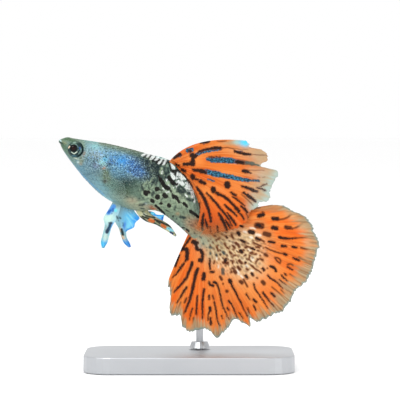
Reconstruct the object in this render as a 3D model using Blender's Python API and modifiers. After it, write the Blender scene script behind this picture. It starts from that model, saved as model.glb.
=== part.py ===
"""Male fancy guppy, life size, as a still museum model on a small display stand.

The fish swims to the left (-X) with its left side towards -Y and its head up. Its body is lofted
along a bent spine, its fins are thin fans with raised rays, and a bent rod behind the tail holds it
over a flat base. Lengths are in millimetres until a mesh is made. +Z is up, and the origin is the
centre of the base's underside.
"""

import math

import bmesh
import bpy
import numpy as np
from mathutils import Matrix, Vector

MM = 0.001
TOUCH_GAP = 0.3

# Stand: base, rod, and how high the lowest tip of the tail hangs over the base. The rod rises ROD_OUT
# behind the fish, and its path is drawn through places before and under the flank point it holds.
BASE_LENGTH = 38.0
BASE_DEPTH = 22.0
BASE_HEIGHT = 3.0
BASE_CORNER = 5.0
BASE_EDGE = 0.5
TAIL_CLEARANCE = 2.5
ROD_RADIUS = 0.7
ROD_X = 1.9
ROD_OUT = 4.6
ROD_STATION = 20.6
ROD_STEPS = 26
ROD_STRAIGHT_SHARE = 0.35
ROD_BENDS = [(-0.3, -12.5), (-1.4, -7.5)]
ROD_TOP = [(2.4, 0.0, -2.8), (0.5, -0.6, -0.5)]
ROD_TIP_RUN = 0.8
COLLAR_RADIUS = 1.9
COLLAR_HEIGHT = 1.1

# The fish's own frame has its origin at the snout tip, x towards the tail and z up.
SNOUT_TO_CENTRE = 23.7
TAIL_DROP = 35.9
FISH_X = -SNOUT_TO_CENTRE
FISH_Z = BASE_HEIGHT + TAIL_CLEARANCE + TAIL_DROP

# Spine: it leaves the snout heading down and back, and bends down further towards the tail.
SPINE_LENGTH = 30.0
HEAD_PITCH = 27.5
STEM_BEND = 15.0
BEND_START = 14.0
BEND_END = 30.0

# Body heights over and under the spine, and half widths, at distances along it from the snout.
BACK = [
    (0.0, 0.30), (0.3, 0.62), (1.0, 1.22), (2.0, 1.62), (4.0, 2.34), (8.0, 3.66), (12.0, 4.68),
    (16.0, 5.52), (18.5, 6.08), (20.0, 6.15), (22.0, 5.80), (24.0, 5.05), (26.0, 4.20),
    (28.0, 3.30), (30.0, 2.50),
]
BELLY = [
    (0.0, 0.10), (0.3, 0.28), (1.0, 0.88), (2.0, 1.50), (4.0, 2.52), (8.0, 4.10), (12.0, 5.22),
    (14.0, 5.38), (16.0, 5.26), (18.0, 4.92), (20.0, 4.32), (22.0, 3.10), (24.0, 2.45),
    (26.0, 2.30), (28.0, 2.36), (30.0, 2.40),
]
HALF_WIDTH = [
    (0.0, 0.50), (0.3, 0.80), (1.0, 1.15), (2.0, 1.50), (4.0, 1.98), (8.0, 2.55), (12.0, 2.88),
    (15.0, 2.84), (18.0, 2.58), (21.0, 2.22), (24.0, 1.80), (27.0, 1.32), (30.0, 0.72),
]
# Squareness of the section's upper half: the flat head is square, the back is round.
CROWN_POWER = [(0.0, 0.72), (4.0, 0.74), (8.0, 0.88), (14.0, 1.0), (30.0, 1.0)]
KEEL_POWER = [(0.0, 0.95), (6.0, 1.06), (14.0, 1.0), (30.0, 1.0)]

# Gill cover: the head's rear edge, which is furthest back at mid height.
GILL_TOP = 6.7
GILL_BULGE = 2.8
GILL_THROAT = -0.8
GILL_FLARE = 0.16
GILL_FLARE_SHARE = 0.12
NECK_PLUG = 7.5
STEM_START = 23.2

# Eye: its centre along and over the spine, its radius, and its half thickness across the head.
EYE_STATION = 3.42
EYE_RISE = 0.12
EYE_RADIUS = 1.46
EYE_HALF_DEPTH = 0.92
EYE_CENTRE_OUT = 1.42
SOCKET_GAP = 0.21

# Mouth: a slit that runs down and back from the snout tip, with a raised lip on each side of it.
MOUTH_LENGTH = 1.0
MOUTH_SLOPE = 28.0
MOUTH_SLIT = 0.16
LIP_RISE = 0.10
LIP_WIDTH = 0.22
NOSTRIL_STATION = 1.55
NOSTRIL_ANGLE = 38.0
NOSTRIL_RADIUS = 0.17

# Fins: thickness of the membrane, of its free edge, and of the rays raised on it.
MEMBRANE = 0.50
FREE_EDGE = 0.24
RAY_RIDGE = 0.14
EDGE_TAPER_START = 0.80


def smooth(knots, at):
    """A cubic curve through (place, value) knots, with the slope at each from its neighbours."""
    places = np.array([k[0] for k in knots], float)
    values = np.array([k[1] for k in knots], float)
    slopes = np.gradient(values, places)
    at = np.clip(np.asarray(at, float), places[0], places[-1])
    i = np.clip(np.searchsorted(places, at, side="right") - 1, 0, len(places) - 2)
    step = places[i + 1] - places[i]
    t = (at - places[i]) / step
    return (
        values[i] * (2 * t**3 - 3 * t**2 + 1)
        + values[i + 1] * (3 * t**2 - 2 * t**3)
        + step * slopes[i] * (t**3 - 2 * t**2 + t)
        + step * slopes[i + 1] * (t**3 - t**2)
    )


def ease(low, high, at):
    """0 below low, 1 above high, and a smooth step between them."""
    t = np.clip((np.asarray(at, float) - low) / (high - low), 0.0, 1.0)
    return t * t * (3 - 2 * t)


def bell(distance, width):
    return np.exp(-((distance / width) ** 2))


def heading(s):
    """The spine's slope below the horizontal at s, in radians."""
    return np.radians(HEAD_PITCH + STEM_BEND * ease(BEND_START, BEND_END, s))


def spine(s):
    """The spine's x and z at s, summed along its heading."""
    steps = np.linspace(0.0, SPINE_LENGTH, 601)
    middle = heading((steps[1:] + steps[:-1]) / 2)
    length = np.diff(steps)
    x = np.concatenate([[0.0], np.cumsum(np.cos(middle) * length)])
    z = np.concatenate([[0.0], np.cumsum(-np.sin(middle) * length)])
    return np.interp(s, steps, x), np.interp(s, steps, z)


def mouth_distance(x, z):
    """How far a point is from the mouth's line, and how far along that line it lies."""
    slope = math.radians(MOUTH_SLOPE)
    along = x * math.cos(slope) - z * math.sin(slope)
    across = x * math.sin(slope) + z * math.cos(slope)
    return across, along


def body_surface(s, angle, swell=0.0):
    """Points of the body's skin at s along the spine. Angle 0 is the back and 90 degrees the left flank.

    The section is a superellipse with its own height above and below the spine. Swell adds to it.
    """
    s, angle = np.broadcast_arrays(np.asarray(s, float), np.asarray(angle, float))
    up, side = np.cos(angle), np.sin(angle)
    crown, keel = smooth(CROWN_POWER, s), smooth(KEEL_POWER, s)
    power = np.where(up >= 0, crown, keel)
    height = np.where(up >= 0, smooth(BACK, s), smooth(BELLY, s)) + swell
    width = smooth(HALF_WIDTH, s) + swell
    rise = height * np.sign(up) * np.abs(up) ** power
    out = width * np.sign(side) * np.abs(side) ** power
    x, z = spine(s)
    slope = heading(s)
    return np.stack([x + rise * np.sin(slope), -out, z + rise * np.cos(slope)], axis=-1)


def gill_edge(angle):
    """Where the gill cover ends along the spine, for each angle round the body."""
    return GILL_TOP + GILL_BULGE * np.sin(angle) ** 2 + GILL_THROAT * (1 - np.cos(angle)) / 2


def to_frame(points):
    """From the fish's own frame in millimetres to the model's frame in metres."""
    return (np.asarray(points, float) + np.array([FISH_X, 0.0, FISH_Z])) * MM


def make_material(name, colour, roughness, metallic=0.0):
    material = bpy.data.materials.new(name)
    material.use_nodes = True
    shader = material.node_tree.nodes["Principled BSDF"]
    shader.inputs["Base Color"].default_value = (*colour, 1.0)
    shader.inputs["Roughness"].default_value = roughness
    shader.inputs["Metallic"].default_value = metallic
    return material


def add_object(name, mesh, material, collection):
    obj = bpy.data.objects.new(name, mesh)
    obj.data.materials.append(material)
    collection.objects.link(obj)
    return obj


def mesh_from(name, points, faces):
    mesh = bpy.data.meshes.new(name)
    mesh.from_pydata([tuple(p) for p in points], [], faces)
    mesh.validate()
    mesh.shade_smooth()
    mesh.set_sharp_from_angle(angle=math.radians(50))
    return mesh


def loft(name, rings, front_pole, rear_pole):
    """A closed mesh through rings of equal count, shape (rings, columns, 3), with a pole at each end."""
    count, columns, _ = rings.shape
    points = np.concatenate([rings.reshape(-1, 3), [front_pole], [rear_pole]])
    front, rear = count * columns, count * columns + 1
    faces = []
    for j in range(columns):
        k = (j + 1) % columns
        faces.append((front, k, j))
        faces.append((rear, (count - 1) * columns + j, (count - 1) * columns + k))
        for i in range(count - 1):
            a, b = i * columns + j, i * columns + k
            faces.append((a, b, b + columns, a + columns))
    return mesh_from(name, to_frame(points), faces)


def spine_point(s):
    x, z = spine(s)
    return np.array([float(x), 0.0, float(z)])


def cut(target, cutter, cutters):
    """Takes the cutter's shape out of the target."""
    cutters.objects.link(cutter)
    cutter.hide_render = True
    cutter.display_type = "WIRE"
    modifier = target.modifiers.new("cut_" + cutter.name, "BOOLEAN")
    modifier.operation = "DIFFERENCE"
    modifier.solver = "EXACT"
    modifier.object = cutter


def ellipsoid(name, centre, radii, turn, segments=22, rings=12):
    """A sphere primitive with its own radii, turned about Y by turn radians."""
    mesh = bpy.data.meshes.new(name)
    shape = bmesh.new()
    bmesh.ops.create_uvsphere(shape, u_segments=segments, v_segments=rings, radius=1.0)
    pole_across = Matrix.Rotation(math.pi / 2, 4, "X")
    place = (
        Matrix.Translation(Vector(to_frame(centre)))
        @ Matrix.Rotation(turn, 4, "Y")
        @ Matrix.Diagonal(Vector([r * MM for r in radii] + [1.0]))
        @ pole_across
    )
    bmesh.ops.transform(shape, matrix=place, verts=shape.verts)
    shape.to_mesh(mesh)
    shape.free()
    mesh.shade_smooth()
    return mesh


def eye_centre(side):
    x, z = spine(EYE_STATION)
    slope = heading(EYE_STATION)
    return np.array(
        [x + EYE_RISE * math.sin(slope), side * EYE_CENTRE_OUT, z + EYE_RISE * math.cos(slope)]
    )


def make_head(material, collection, cutters):
    """Snout to gill cover, with lips, a mouth slit, nostrils and eye sockets."""
    columns, rings = 40, 25
    angle = np.linspace(0, 2 * math.pi, columns, endpoint=False)
    share = np.linspace(0, 1, rings) ** 1.25
    station = share[:, None] * (gill_edge(angle)[None, :] - TOUCH_GAP / 2)
    surface = body_surface(station, angle[None, :])
    across, along = mouth_distance(surface[..., 0], surface[..., 2])
    at_mouth = 1 - ease(MOUTH_LENGTH, MOUTH_LENGTH + 0.4, along)
    lips = LIP_RISE * bell(np.abs(across) - LIP_WIDTH / 2, LIP_WIDTH) * at_mouth
    behind_eye = ease(0.35, 0.6, np.abs(np.sin(angle)))[None, :]
    flare = GILL_FLARE * behind_eye * ease(1 - GILL_FLARE_SHARE, 1.0, share)[:, None]
    surface = body_surface(station, angle[None, :], swell=lips + flare)
    front = (surface[0].mean(axis=0) * 2 + spine_point(0.0)) / 3 - np.array([0.10, 0.0, 0.0])
    mesh = loft("head", surface, front, spine_point(NECK_PLUG - TOUCH_GAP / 2))
    head = add_object("head", mesh, material, collection)

    for side, word in ((-1, "left"), (1, "right")):
        socket = EYE_RADIUS + SOCKET_GAP
        radii = (socket, EYE_HALF_DEPTH + TOUCH_GAP, socket)
        mesh = ellipsoid("socket_" + word, eye_centre(side), radii, heading(EYE_STATION))
        cut(head, bpy.data.objects.new("socket_" + word, mesh), cutters)
        spot = body_surface(NOSTRIL_STATION, -side * math.radians(NOSTRIL_ANGLE))
        radii = (NOSTRIL_RADIUS, NOSTRIL_RADIUS, NOSTRIL_RADIUS)
        mesh = ellipsoid("nostril_" + word, spot, radii, 0.0, segments=10, rings=6)
        cut(head, bpy.data.objects.new("nostril_" + word, mesh), cutters)

    slope = math.radians(MOUTH_SLOPE)
    reach = MOUTH_LENGTH + 0.6
    middle = np.array([math.cos(slope), 0.0, -math.sin(slope)]) * (MOUTH_LENGTH - reach / 2)
    shape = bmesh.new()
    bmesh.ops.create_cube(shape, size=1.0)
    size = Vector((reach * MM, 5.0 * MM, MOUTH_SLIT * MM, 1.0))
    place = (
        Matrix.Translation(Vector(to_frame(middle)))
        @ Matrix.Rotation(slope, 4, "Y")
        @ Matrix.Diagonal(size)
    )
    bmesh.ops.transform(shape, matrix=place, verts=shape.verts)
    mesh = bpy.data.meshes.new("mouth_slit")
    shape.to_mesh(mesh)
    shape.free()
    cut(head, bpy.data.objects.new("mouth_slit", mesh), cutters)
    return head


def make_torso(material, collection):
    """Gill cover to the rear of the back fin."""
    columns, rings = 40, 17
    angle = np.linspace(0, 2 * math.pi, columns, endpoint=False)
    start = gill_edge(angle) + TOUCH_GAP / 2
    share = np.linspace(0, 1, rings)
    end = STEM_START - TOUCH_GAP / 2
    station = start[None, :] + share[:, None] * (end - start)[None, :]
    surface = body_surface(station, angle[None, :])
    mesh = loft("torso", surface, spine_point(NECK_PLUG + TOUCH_GAP / 2), spine_point(end))
    return add_object("torso", mesh, material, collection)


def make_tail_stem(material, collection):
    """The body behind the back fin, down to the root of the tail fin."""
    columns, rings = 40, 9
    angle = np.linspace(0, 2 * math.pi, columns, endpoint=False)
    station = np.linspace(STEM_START + TOUCH_GAP / 2, SPINE_LENGTH, rings)
    surface = body_surface(station[:, None], angle[None, :])
    mesh = loft("tail_stem", surface, spine_point(station[0]), spine_point(station[-1]))
    return add_object("tail_stem", mesh, material, collection)


def make_eye(side, word, material, collection):
    radii = (EYE_RADIUS, EYE_HALF_DEPTH, EYE_RADIUS)
    mesh = ellipsoid("eye_" + word, eye_centre(side), radii, heading(EYE_STATION))
    return add_object("eye_" + word, mesh, material, collection)


def ray_pattern(rays, forking=True):
    """Column places across a fin, and the height of its ridges at root and edge.

    Each ray is one ridge at the root. A forking one has become two at the free edge.
    """
    root, edge = (0.0, 1.0), (0.0, 1.0)
    if forking:
        root, edge = (0.0, 0.5, 1.0, 0.5), (0.0, 1.0, 0.25, 1.0)
    columns = rays * len(root) + 1
    across = np.linspace(0, 1, columns)
    return across, np.tile(root, rays + 1)[:columns], np.tile(edge, rays + 1)[:columns]


def fin_thickness(along, at_root, at_edge, membrane=MEMBRANE, ridge=RAY_RIDGE):
    """Membrane that thins to its free edge, plus forking rays that stand on both of its faces."""
    fork = ease(0.35, 0.75, along)[None, :]
    rays = at_root[:, None] * (1 - fork) + at_edge[:, None] * fork
    thin = ease(EDGE_TAPER_START, 1.0, along)[None, :]
    return membrane * (1 - thin) + FREE_EDGE * thin + 2 * ridge * rays * (1 - 0.6 * thin)


def vane(name, middle, thickness):
    """A closed thin solid round the surface middle, which has the shape (columns, rows, 3)."""
    columns, rows, _ = middle.shape
    along_u = np.gradient(middle, axis=0)
    along_v = np.gradient(middle, axis=1)
    normal = np.cross(along_u, along_v)
    normal /= np.maximum(np.linalg.norm(normal, axis=-1, keepdims=True), 1e-9)
    half = normal * thickness[..., None] / 2
    points = np.concatenate([(middle + half).reshape(-1, 3), (middle - half).reshape(-1, 3)])
    back = columns * rows
    faces = []
    for i in range(columns - 1):
        for j in range(rows - 1):
            a, b = i * rows + j, (i + 1) * rows + j
            faces += [(a, b, b + 1), (a, b + 1, a + 1)]
            faces += [(back + b + 1, back + b, back + a), (back + a + 1, back + b + 1, back + a)]
    rim = [i * rows for i in range(columns)]
    rim += [(columns - 1) * rows + j for j in range(1, rows)]
    rim += [i * rows + rows - 1 for i in range(columns - 2, -1, -1)]
    rim += [j for j in range(rows - 2, 0, -1)]
    for a, b in zip(rim, rim[1:] + rim[:1]):
        faces += [(b, a, back + a), (b, back + a, back + b)]
    return mesh_from(name, to_frame(points), faces)


def bezier(start, handle, end, along):
    """Quadratic curves from start to end, one for each column, at the rows in along."""
    t = along[None, :, None]
    return (
        start[:, None, :] * (1 - t) ** 2
        + handle[:, None, :] * 2 * t * (1 - t)
        + end[:, None, :] * t**2
    )


# Tail fin, about a fan centre in the stem: its edge rays' directions, and its reach at each one.
TAIL_CENTRE = (26.2, -15.5)
TAIL_TOP_ANGLE = 17.0
TAIL_LOW_ANGLE = -123.0
TAIL_RAYS = 18
TAIL_ROWS = 13
TAIL_REACH = [
    (-123.0, 11.2), (-121.0, 12.3), (-118.0, 12.7), (-114.3, 14.0), (-111.5, 16.5), (-106.5, 17.1),
    (-104.3, 16.9), (-101.8, 18.6), (-99.2, 19.4), (-92.7, 19.2), (-89.0, 18.7), (-85.5, 19.3),
    (-83.0, 20.5), (-79.3, 19.8), (-74.5, 18.6), (-72.0, 18.1), (-67.3, 19.1), (-64.6, 20.2),
    (-62.6, 18.9), (-61.0, 19.7), (-56.8, 20.3), (-52.0, 20.4), (-47.2, 21.0), (-41.7, 21.0),
    (-34.0, 20.6), (-28.8, 21.3), (-22.0, 21.4), (-12.0, 21.2), (-7.7, 21.3), (-4.0, 20.3),
    (2.1, 19.6), (7.0, 18.3), (9.0, 16.7), (13.2, 15.5), (17.0, 13.0),
]
TAIL_ROOT_SHARE = 0.97
TAIL_TOOTH = 0.3
TAIL_HANDLE_SHARE = 0.22
TAIL_TOP_HANDLE = (33.0, -12.6)
TAIL_LOW_HANDLE = (21.7, -20.3)
TAIL_WAVES = 3.5
TAIL_WAVE_START = 0.6
TAIL_WAVE_HEIGHT = 0.75
TAIL_WAVE_GROWTH = 1.6
TAIL_CUP = 5.12
TAIL_CUP_MIDDLE = 0.45
TAIL_CUP_SHIFT = -0.25
TAIL_CUP_GROWTH = 1.8


def tail_surface(across, along):
    """Middle surface of the tail fin. Across runs from its top ray to its lowest one.

    The rays leave the stem's end and fan out to the edge, which waves and cups to both sides.
    """
    root_x, root_z = spine(SPINE_LENGTH)
    slope = float(heading(SPINE_LENGTH))
    top, low = smooth(BACK, SPINE_LENGTH), smooth(BELLY, SPINE_LENGTH)
    rise = (top - (top + low) * across) * TAIL_ROOT_SHARE
    start = np.stack(
        [
            root_x + rise * math.sin(slope) + TOUCH_GAP * math.cos(slope),
            rise * 0,
            root_z + rise * math.cos(slope) - TOUCH_GAP * math.sin(slope),
        ],
        axis=-1,
    )
    angle = TAIL_TOP_ANGLE + (TAIL_LOW_ANGLE - TAIL_TOP_ANGLE) * across
    tooth = TAIL_TOOTH * np.cos(2 * math.pi * across * TAIL_RAYS)
    reach = smooth(TAIL_REACH, angle) - tooth / 2
    centre = np.array([TAIL_CENTRE[0], 0.0, TAIL_CENTRE[1]])
    turn = np.radians(angle)
    end = centre + reach[:, None] * np.stack([np.cos(turn), turn * 0, np.sin(turn)], axis=-1)
    handle = (start + end) / 2
    for place, corner in ((0.0, TAIL_TOP_HANDLE), (1.0, TAIL_LOW_HANDLE)):
        pull = (1 - ease(0.0, TAIL_HANDLE_SHARE, np.abs(across - place)))[:, None]
        handle = handle * (1 - pull) + np.array([corner[0], 0.0, corner[1]]) * pull
    surface = bezier(start, handle, end, along)
    wave = TAIL_WAVE_HEIGHT * np.sin(2 * math.pi * TAIL_WAVES * across + TAIL_WAVE_START)[:, None]
    cup = TAIL_CUP * ((across - TAIL_CUP_MIDDLE) ** 2)[:, None] + TAIL_CUP_SHIFT
    surface[..., 1] += wave * along[None, :] ** TAIL_WAVE_GROWTH
    surface[..., 1] += cup * along[None, :] ** TAIL_CUP_GROWTH
    return surface


def make_tail_fin(material, collection):
    across, at_root, at_edge = ray_pattern(TAIL_RAYS)
    along = np.linspace(0, 1, TAIL_ROWS) ** 0.92
    middle = tail_surface(across, along)
    mesh = vane("tail_fin", middle, fin_thickness(along, at_root, at_edge))
    return add_object("tail_fin", mesh, material, collection)


# Back fin: where its root lies along the spine, and its free edge as (share, x, z) from front to rear.
BACK_FIN_START = 19.15
BACK_FIN_END = 22.3
BACK_FIN_RAYS = 11
BACK_FIN_ROWS = 11
BACK_FIN_EDGE = [
    (0.00, 34.0, -0.25), (0.05, 34.7, -0.75), (0.09, 34.8, -1.2), (0.13, 36.9, -1.6),
    (0.18, 38.0, -2.8), (0.21, 37.9, -3.6), (0.235, 36.7, -4.4), (0.26, 37.6, -5.1),
    (0.30, 39.65, -5.35), (0.36, 39.3, -7.1), (0.43, 38.4, -9.1), (0.49, 38.0, -10.9),
    (0.54, 36.4, -11.6), (0.60, 34.8, -12.6), (0.67, 34.4, -14.3), (0.73, 32.9, -15.4),
    (0.80, 30.6, -16.2), (0.87, 28.2, -16.7), (0.94, 26.4, -16.6), (1.00, 24.9, -15.9),
]
BACK_FIN_HANDLES = [(0.0, 26.1, 1.75), (0.25, 27.7, -2.0), (0.5, 27.5, -6.2), (1.0, 27.0, -11.8)]
BACK_FIN_TOOTH = 0.25
BACK_FIN_WAVES = 2.2
BACK_FIN_WAVE_START = 0.4
BACK_FIN_WAVE_HEIGHT = 0.42
BACK_FIN_WAVE_GROWTH = 1.5
BACK_FIN_DRAPE = 2.4
BACK_FIN_DRAPE_GROWTH = 3.2
BACK_FIN_ROOT_LIFT = 0.47


def flank_reach(x, z):
    """Half width of the body behind each side-view point (x, z), which is 0 outside its outline."""
    stations = np.linspace(0.0, SPINE_LENGTH, 151)
    line_x, line_z = spine(stations)
    far_x, far_z = x[..., None] - line_x, z[..., None] - line_z
    nearest = np.argmin(far_x**2 + far_z**2, axis=-1)
    s = stations[nearest]
    rise = (x - line_x[nearest]) * np.sin(heading(s)) + (z - line_z[nearest]) * np.cos(heading(s))
    height = np.where(rise >= 0, smooth(BACK, s), smooth(BELLY, s))
    inside = nearest < len(stations) - 1
    return smooth(HALF_WIDTH, s) * np.sqrt(np.clip(1 - (rise / height) ** 2, 0, 1)) * inside


def back_fin_surface(across, along):
    """Middle surface of the back fin. Across runs from its front ray to its last one.

    Its rays curve back from the ridge of the back. The rear ones start a little higher, because they run
    along the back, and fall over the left side, clear of the stem and of the tail fin.
    """
    station = BACK_FIN_START + (BACK_FIN_END - BACK_FIN_START) * across
    lift = BACK_FIN_ROOT_LIFT * ease(0.45, 0.9, across)
    start = body_surface(station, 0.0, swell=TOUCH_GAP + lift)
    edge_x = smooth([(k[0], k[1]) for k in BACK_FIN_EDGE], across)
    edge_z = smooth([(k[0], k[2]) for k in BACK_FIN_EDGE], across)
    handle_x = smooth([(k[0], k[1]) for k in BACK_FIN_HANDLES], across)
    handle_z = smooth([(k[0], k[2]) for k in BACK_FIN_HANDLES], across)
    end = np.stack([edge_x, edge_x * 0, edge_z], axis=-1)
    handle = np.stack([handle_x, handle_x * 0, handle_z], axis=-1)
    inward = (1 + np.cos(2 * math.pi * across * BACK_FIN_RAYS)) / 2 * BACK_FIN_TOOTH
    toward = (handle - end) / np.linalg.norm(handle - end, axis=-1, keepdims=True)
    end = end + toward * inward[:, None]
    surface = bezier(start, handle, end, along)
    fall = 1 - (1 - along[None, :]) ** BACK_FIN_DRAPE_GROWTH
    drape = BACK_FIN_DRAPE * ease(0.42, 0.95, across)[:, None] * fall
    calmer = 1 - 0.6 * ease(0.5, 0.9, across)
    wave = np.sin(2 * math.pi * BACK_FIN_WAVES * across + BACK_FIN_WAVE_START) * calmer
    wave = BACK_FIN_WAVE_HEIGHT * wave[:, None] * along[None, :] ** BACK_FIN_WAVE_GROWTH
    flank = flank_reach(surface[..., 0], surface[..., 2])
    clear = flank + (TOUCH_GAP + MEMBRANE) * ease(0.0, 1.2, flank)
    surface[..., 1] = np.minimum(wave - drape, -clear)
    return surface


def make_back_fin(material, collection):
    across, at_root, at_edge = ray_pattern(BACK_FIN_RAYS)
    along = np.linspace(0, 1, BACK_FIN_ROWS)
    middle = back_fin_surface(across, along)
    mesh = vane("back_fin", middle, fin_thickness(along, at_root, at_edge))
    return add_object("back_fin", mesh, material, collection)


def edge_curve(points, along):
    """A smooth curve through evenly shared (x, z) points, at the shares in along."""
    places = np.linspace(0, 1, len(points))
    x = smooth([(place, point[0]) for place, point in zip(places, points)], along)
    z = smooth([(place, point[1]) for place, point in zip(places, points)], along)
    return np.stack([x, x * 0, z], axis=-1)


def strip_surface(front_edge, rear_edge, across, along):
    """A flat fin between two edge curves that run from its root to its tip."""
    front, rear = edge_curve(front_edge, along), edge_curve(rear_edge, along)
    u = across[:, None, None]
    return front[None] * (1 - u) + rear[None] * u


def laid_on(surface, root, along):
    """Moves a fin's first row onto its root line, and lets the rows after it follow less and less."""
    offset = root - surface[:, 0]
    return surface + offset[:, None, :] * ((1 - along) ** 3)[None, :, None]


# Belly fins: where each one's root lies along the belly and how far round to its own side, its edges
# as (x, z) from root to tip, and how far it spreads sideways. The left one is swept forward, and the
# right one carries a web behind it.
BELLY_FIN_RAYS = 4
BELLY_FIN_ROWS = 14
BELLY_FIN_ROOT_TURN = 16.0
BELLY_FIN_SPREAD = 1.3
BELLY_FIN_RIDGE = 0.08
LEFT_BELLY_FIN = {
    "root": (13.8, 15.4),
    "front": [
        (10.0, -11.4), (8.9, -12.9), (8.2, -14.1), (8.4, -15.2), (8.1, -16.6), (7.7, -18.2),
        (7.9, -19.35),
    ],
    "rear": [
        (11.2, -12.0), (10.9, -13.1), (10.5, -14.3), (9.65, -15.6), (9.25, -17.0), (8.9, -18.3),
        (8.25, -19.4),
    ],
}
RIGHT_BELLY_FIN = {
    "root": (15.0, 17.5),
    "front": [
        (11.2, -12.0), (10.5, -13.3), (10.2, -14.8), (10.95, -16.1), (11.35, -17.3),
        (11.85, -18.6), (12.6, -19.5),
    ],
    "rear": [
        (13.6, -13.0), (14.9, -14.3), (14.2, -15.4), (12.4, -16.4), (12.25, -17.5), (12.8, -18.5),
        (13.0, -19.4),
    ],
}


def belly_fin_surface(side, shape, across, along):
    """Middle surface of one belly fin, from its root line on the belly out to its own side."""
    surface = strip_surface(shape["front"], shape["rear"], across, along)
    start, end = shape["root"]
    turn = math.pi + side * math.radians(BELLY_FIN_ROOT_TURN)
    root = body_surface(start + (end - start) * across, turn, swell=TOUCH_GAP * 1.2)
    surface[..., 1] = root[:, 1][:, None] + side * BELLY_FIN_SPREAD * along[None, :]
    return laid_on(surface, root, along)


def make_belly_fin(side, word, shape, material, collection):
    across, at_root, at_edge = ray_pattern(BELLY_FIN_RAYS, forking=False)
    along = np.linspace(0, 1, BELLY_FIN_ROWS)
    middle = belly_fin_surface(side, shape, across, along)
    thickness = fin_thickness(along, at_root, at_edge, ridge=BELLY_FIN_RIDGE)
    name = "belly_fin_" + word
    return add_object(name, vane(name, middle, thickness), material, collection)


# Pectoral fins: each root line as (station, angle round the body) at its top and its low end, and a
# clear fan of rays folded back, down and away from the flank.
PECTORAL_TOP = (9.9, 105.0)
PECTORAL_LOW = (11.0, 122.0)
PECTORAL_LENGTH = 5.6
PECTORAL_PITCH = 45.0
PECTORAL_SPREAD = 36.0
PECTORAL_OUT = 22.0
PECTORAL_BOW = 0.25
PECTORAL_LONGEST = 0.425
PECTORAL_ROUNDING = 0.35
PECTORAL_RAYS = 6
PECTORAL_ROWS = 9
PECTORAL_RIDGE = 0.08


def pectoral_surface(side, across, along):
    """Middle surface of one pectoral fin. Across runs from its top ray to its lowest one."""
    station = PECTORAL_TOP[0] + (PECTORAL_LOW[0] - PECTORAL_TOP[0]) * across
    angle = np.radians(PECTORAL_TOP[1] + (PECTORAL_LOW[1] - PECTORAL_TOP[1]) * across)
    start = body_surface(station, -side * angle, swell=TOUCH_GAP + MEMBRANE * 0.45)
    turn = np.radians(-PECTORAL_PITCH + PECTORAL_SPREAD * (0.5 - across))
    out = math.radians(PECTORAL_OUT)
    back = np.cos(turn) * math.cos(out)
    down = np.sin(turn) * math.cos(out)
    direction = np.stack([back, np.full_like(back, side * math.sin(out)), down], axis=-1)
    reach = PECTORAL_LENGTH * (1 - PECTORAL_ROUNDING * np.abs(2 * (across - PECTORAL_LONGEST)) ** 2.2)
    end = start + direction * reach[:, None]
    handle = (start + end) / 2 + np.array([0.0, side * PECTORAL_BOW, 0.0])
    return bezier(start, handle, end, along)


def make_pectoral_fin(side, word, material, collection):
    across, at_root, at_edge = ray_pattern(PECTORAL_RAYS, forking=False)
    along = np.linspace(0, 1, PECTORAL_ROWS)
    middle = pectoral_surface(side, across, along)
    thickness = fin_thickness(along, at_root, at_edge, ridge=PECTORAL_RIDGE)
    name = "pectoral_fin_" + word
    return add_object(name, vane(name, middle, thickness), material, collection)


# Gonopodium, the male's rod-like anal fin: its root along the belly, its edges as (x, z) from root to
# tip, its greatest thickness along its length, and the small web of rays behind it.
ROD_FIN_ROOT = (18.2, 20.3)
ROD_FIN_COLUMNS = 11
ROD_FIN_ROWS = 15
ROD_FIN_FRONT = [
    (13.9, -13.1), (14.7, -14.1), (15.9, -14.85), (17.6, -15.3), (18.6, -15.8), (19.8, -16.5),
    (21.1, -17.35),
]
ROD_FIN_REAR = [
    (16.2, -12.9), (16.75, -13.45), (17.4, -13.8), (18.3, -14.25), (19.2, -14.7), (20.3, -15.5),
    (21.3, -16.95),
]
ROD_FIN_THICKNESS = [(0.0, 1.0), (0.6, 0.8), (1.0, 0.45)]
ROD_FIN_EDGE_SHARE = 0.3
WEB_SUNK_EDGE = [(16.9, -14.1), (17.7, -14.35), (18.3, -14.6), (18.9, -14.9)]
WEB_FREE_EDGE = [(17.0, -13.35), (17.6, -13.5), (18.3, -13.75), (18.9, -14.05)]
WEB_COLUMNS = 9
WEB_ROWS = 7
WEB_RIDGE = 0.05


def rod_fin_surface(across, along):
    """Middle surface of the gonopodium, with its first row laid along the belly's keel."""
    surface = strip_surface(ROD_FIN_FRONT, ROD_FIN_REAR, across, along)
    start, end = ROD_FIN_ROOT
    root = body_surface(start + (end - start) * across, math.pi, swell=TOUCH_GAP * 1.4)
    return laid_on(surface, root, along)


def make_gonopodium(material, collection):
    """A rod of lens-shaped section, fused with the thin web behind it."""
    across = np.linspace(0, 1, ROD_FIN_COLUMNS)
    along = np.linspace(0, 1, ROD_FIN_ROWS)
    lens = ROD_FIN_EDGE_SHARE + (1 - ROD_FIN_EDGE_SHARE) * np.sqrt(1 - (2 * across - 1) ** 2)
    thickness = lens[:, None] * smooth(ROD_FIN_THICKNESS, along)[None, :]
    mesh = vane("gonopodium", rod_fin_surface(across, along), thickness)
    rod = add_object("gonopodium", mesh, material, collection)
    across = np.linspace(0, 1, WEB_COLUMNS)
    along = np.linspace(0, 1, WEB_ROWS)
    middle = strip_surface(WEB_SUNK_EDGE, WEB_FREE_EDGE, across, along)
    ridges = np.tile([0.0, 1.0], WEB_COLUMNS)[:WEB_COLUMNS]
    thickness = fin_thickness(along, ridges, ridges, ridge=WEB_RIDGE)
    web = add_object("web", vane("web", middle, thickness), material, collection)
    join(rod, web)
    return rod


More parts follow.
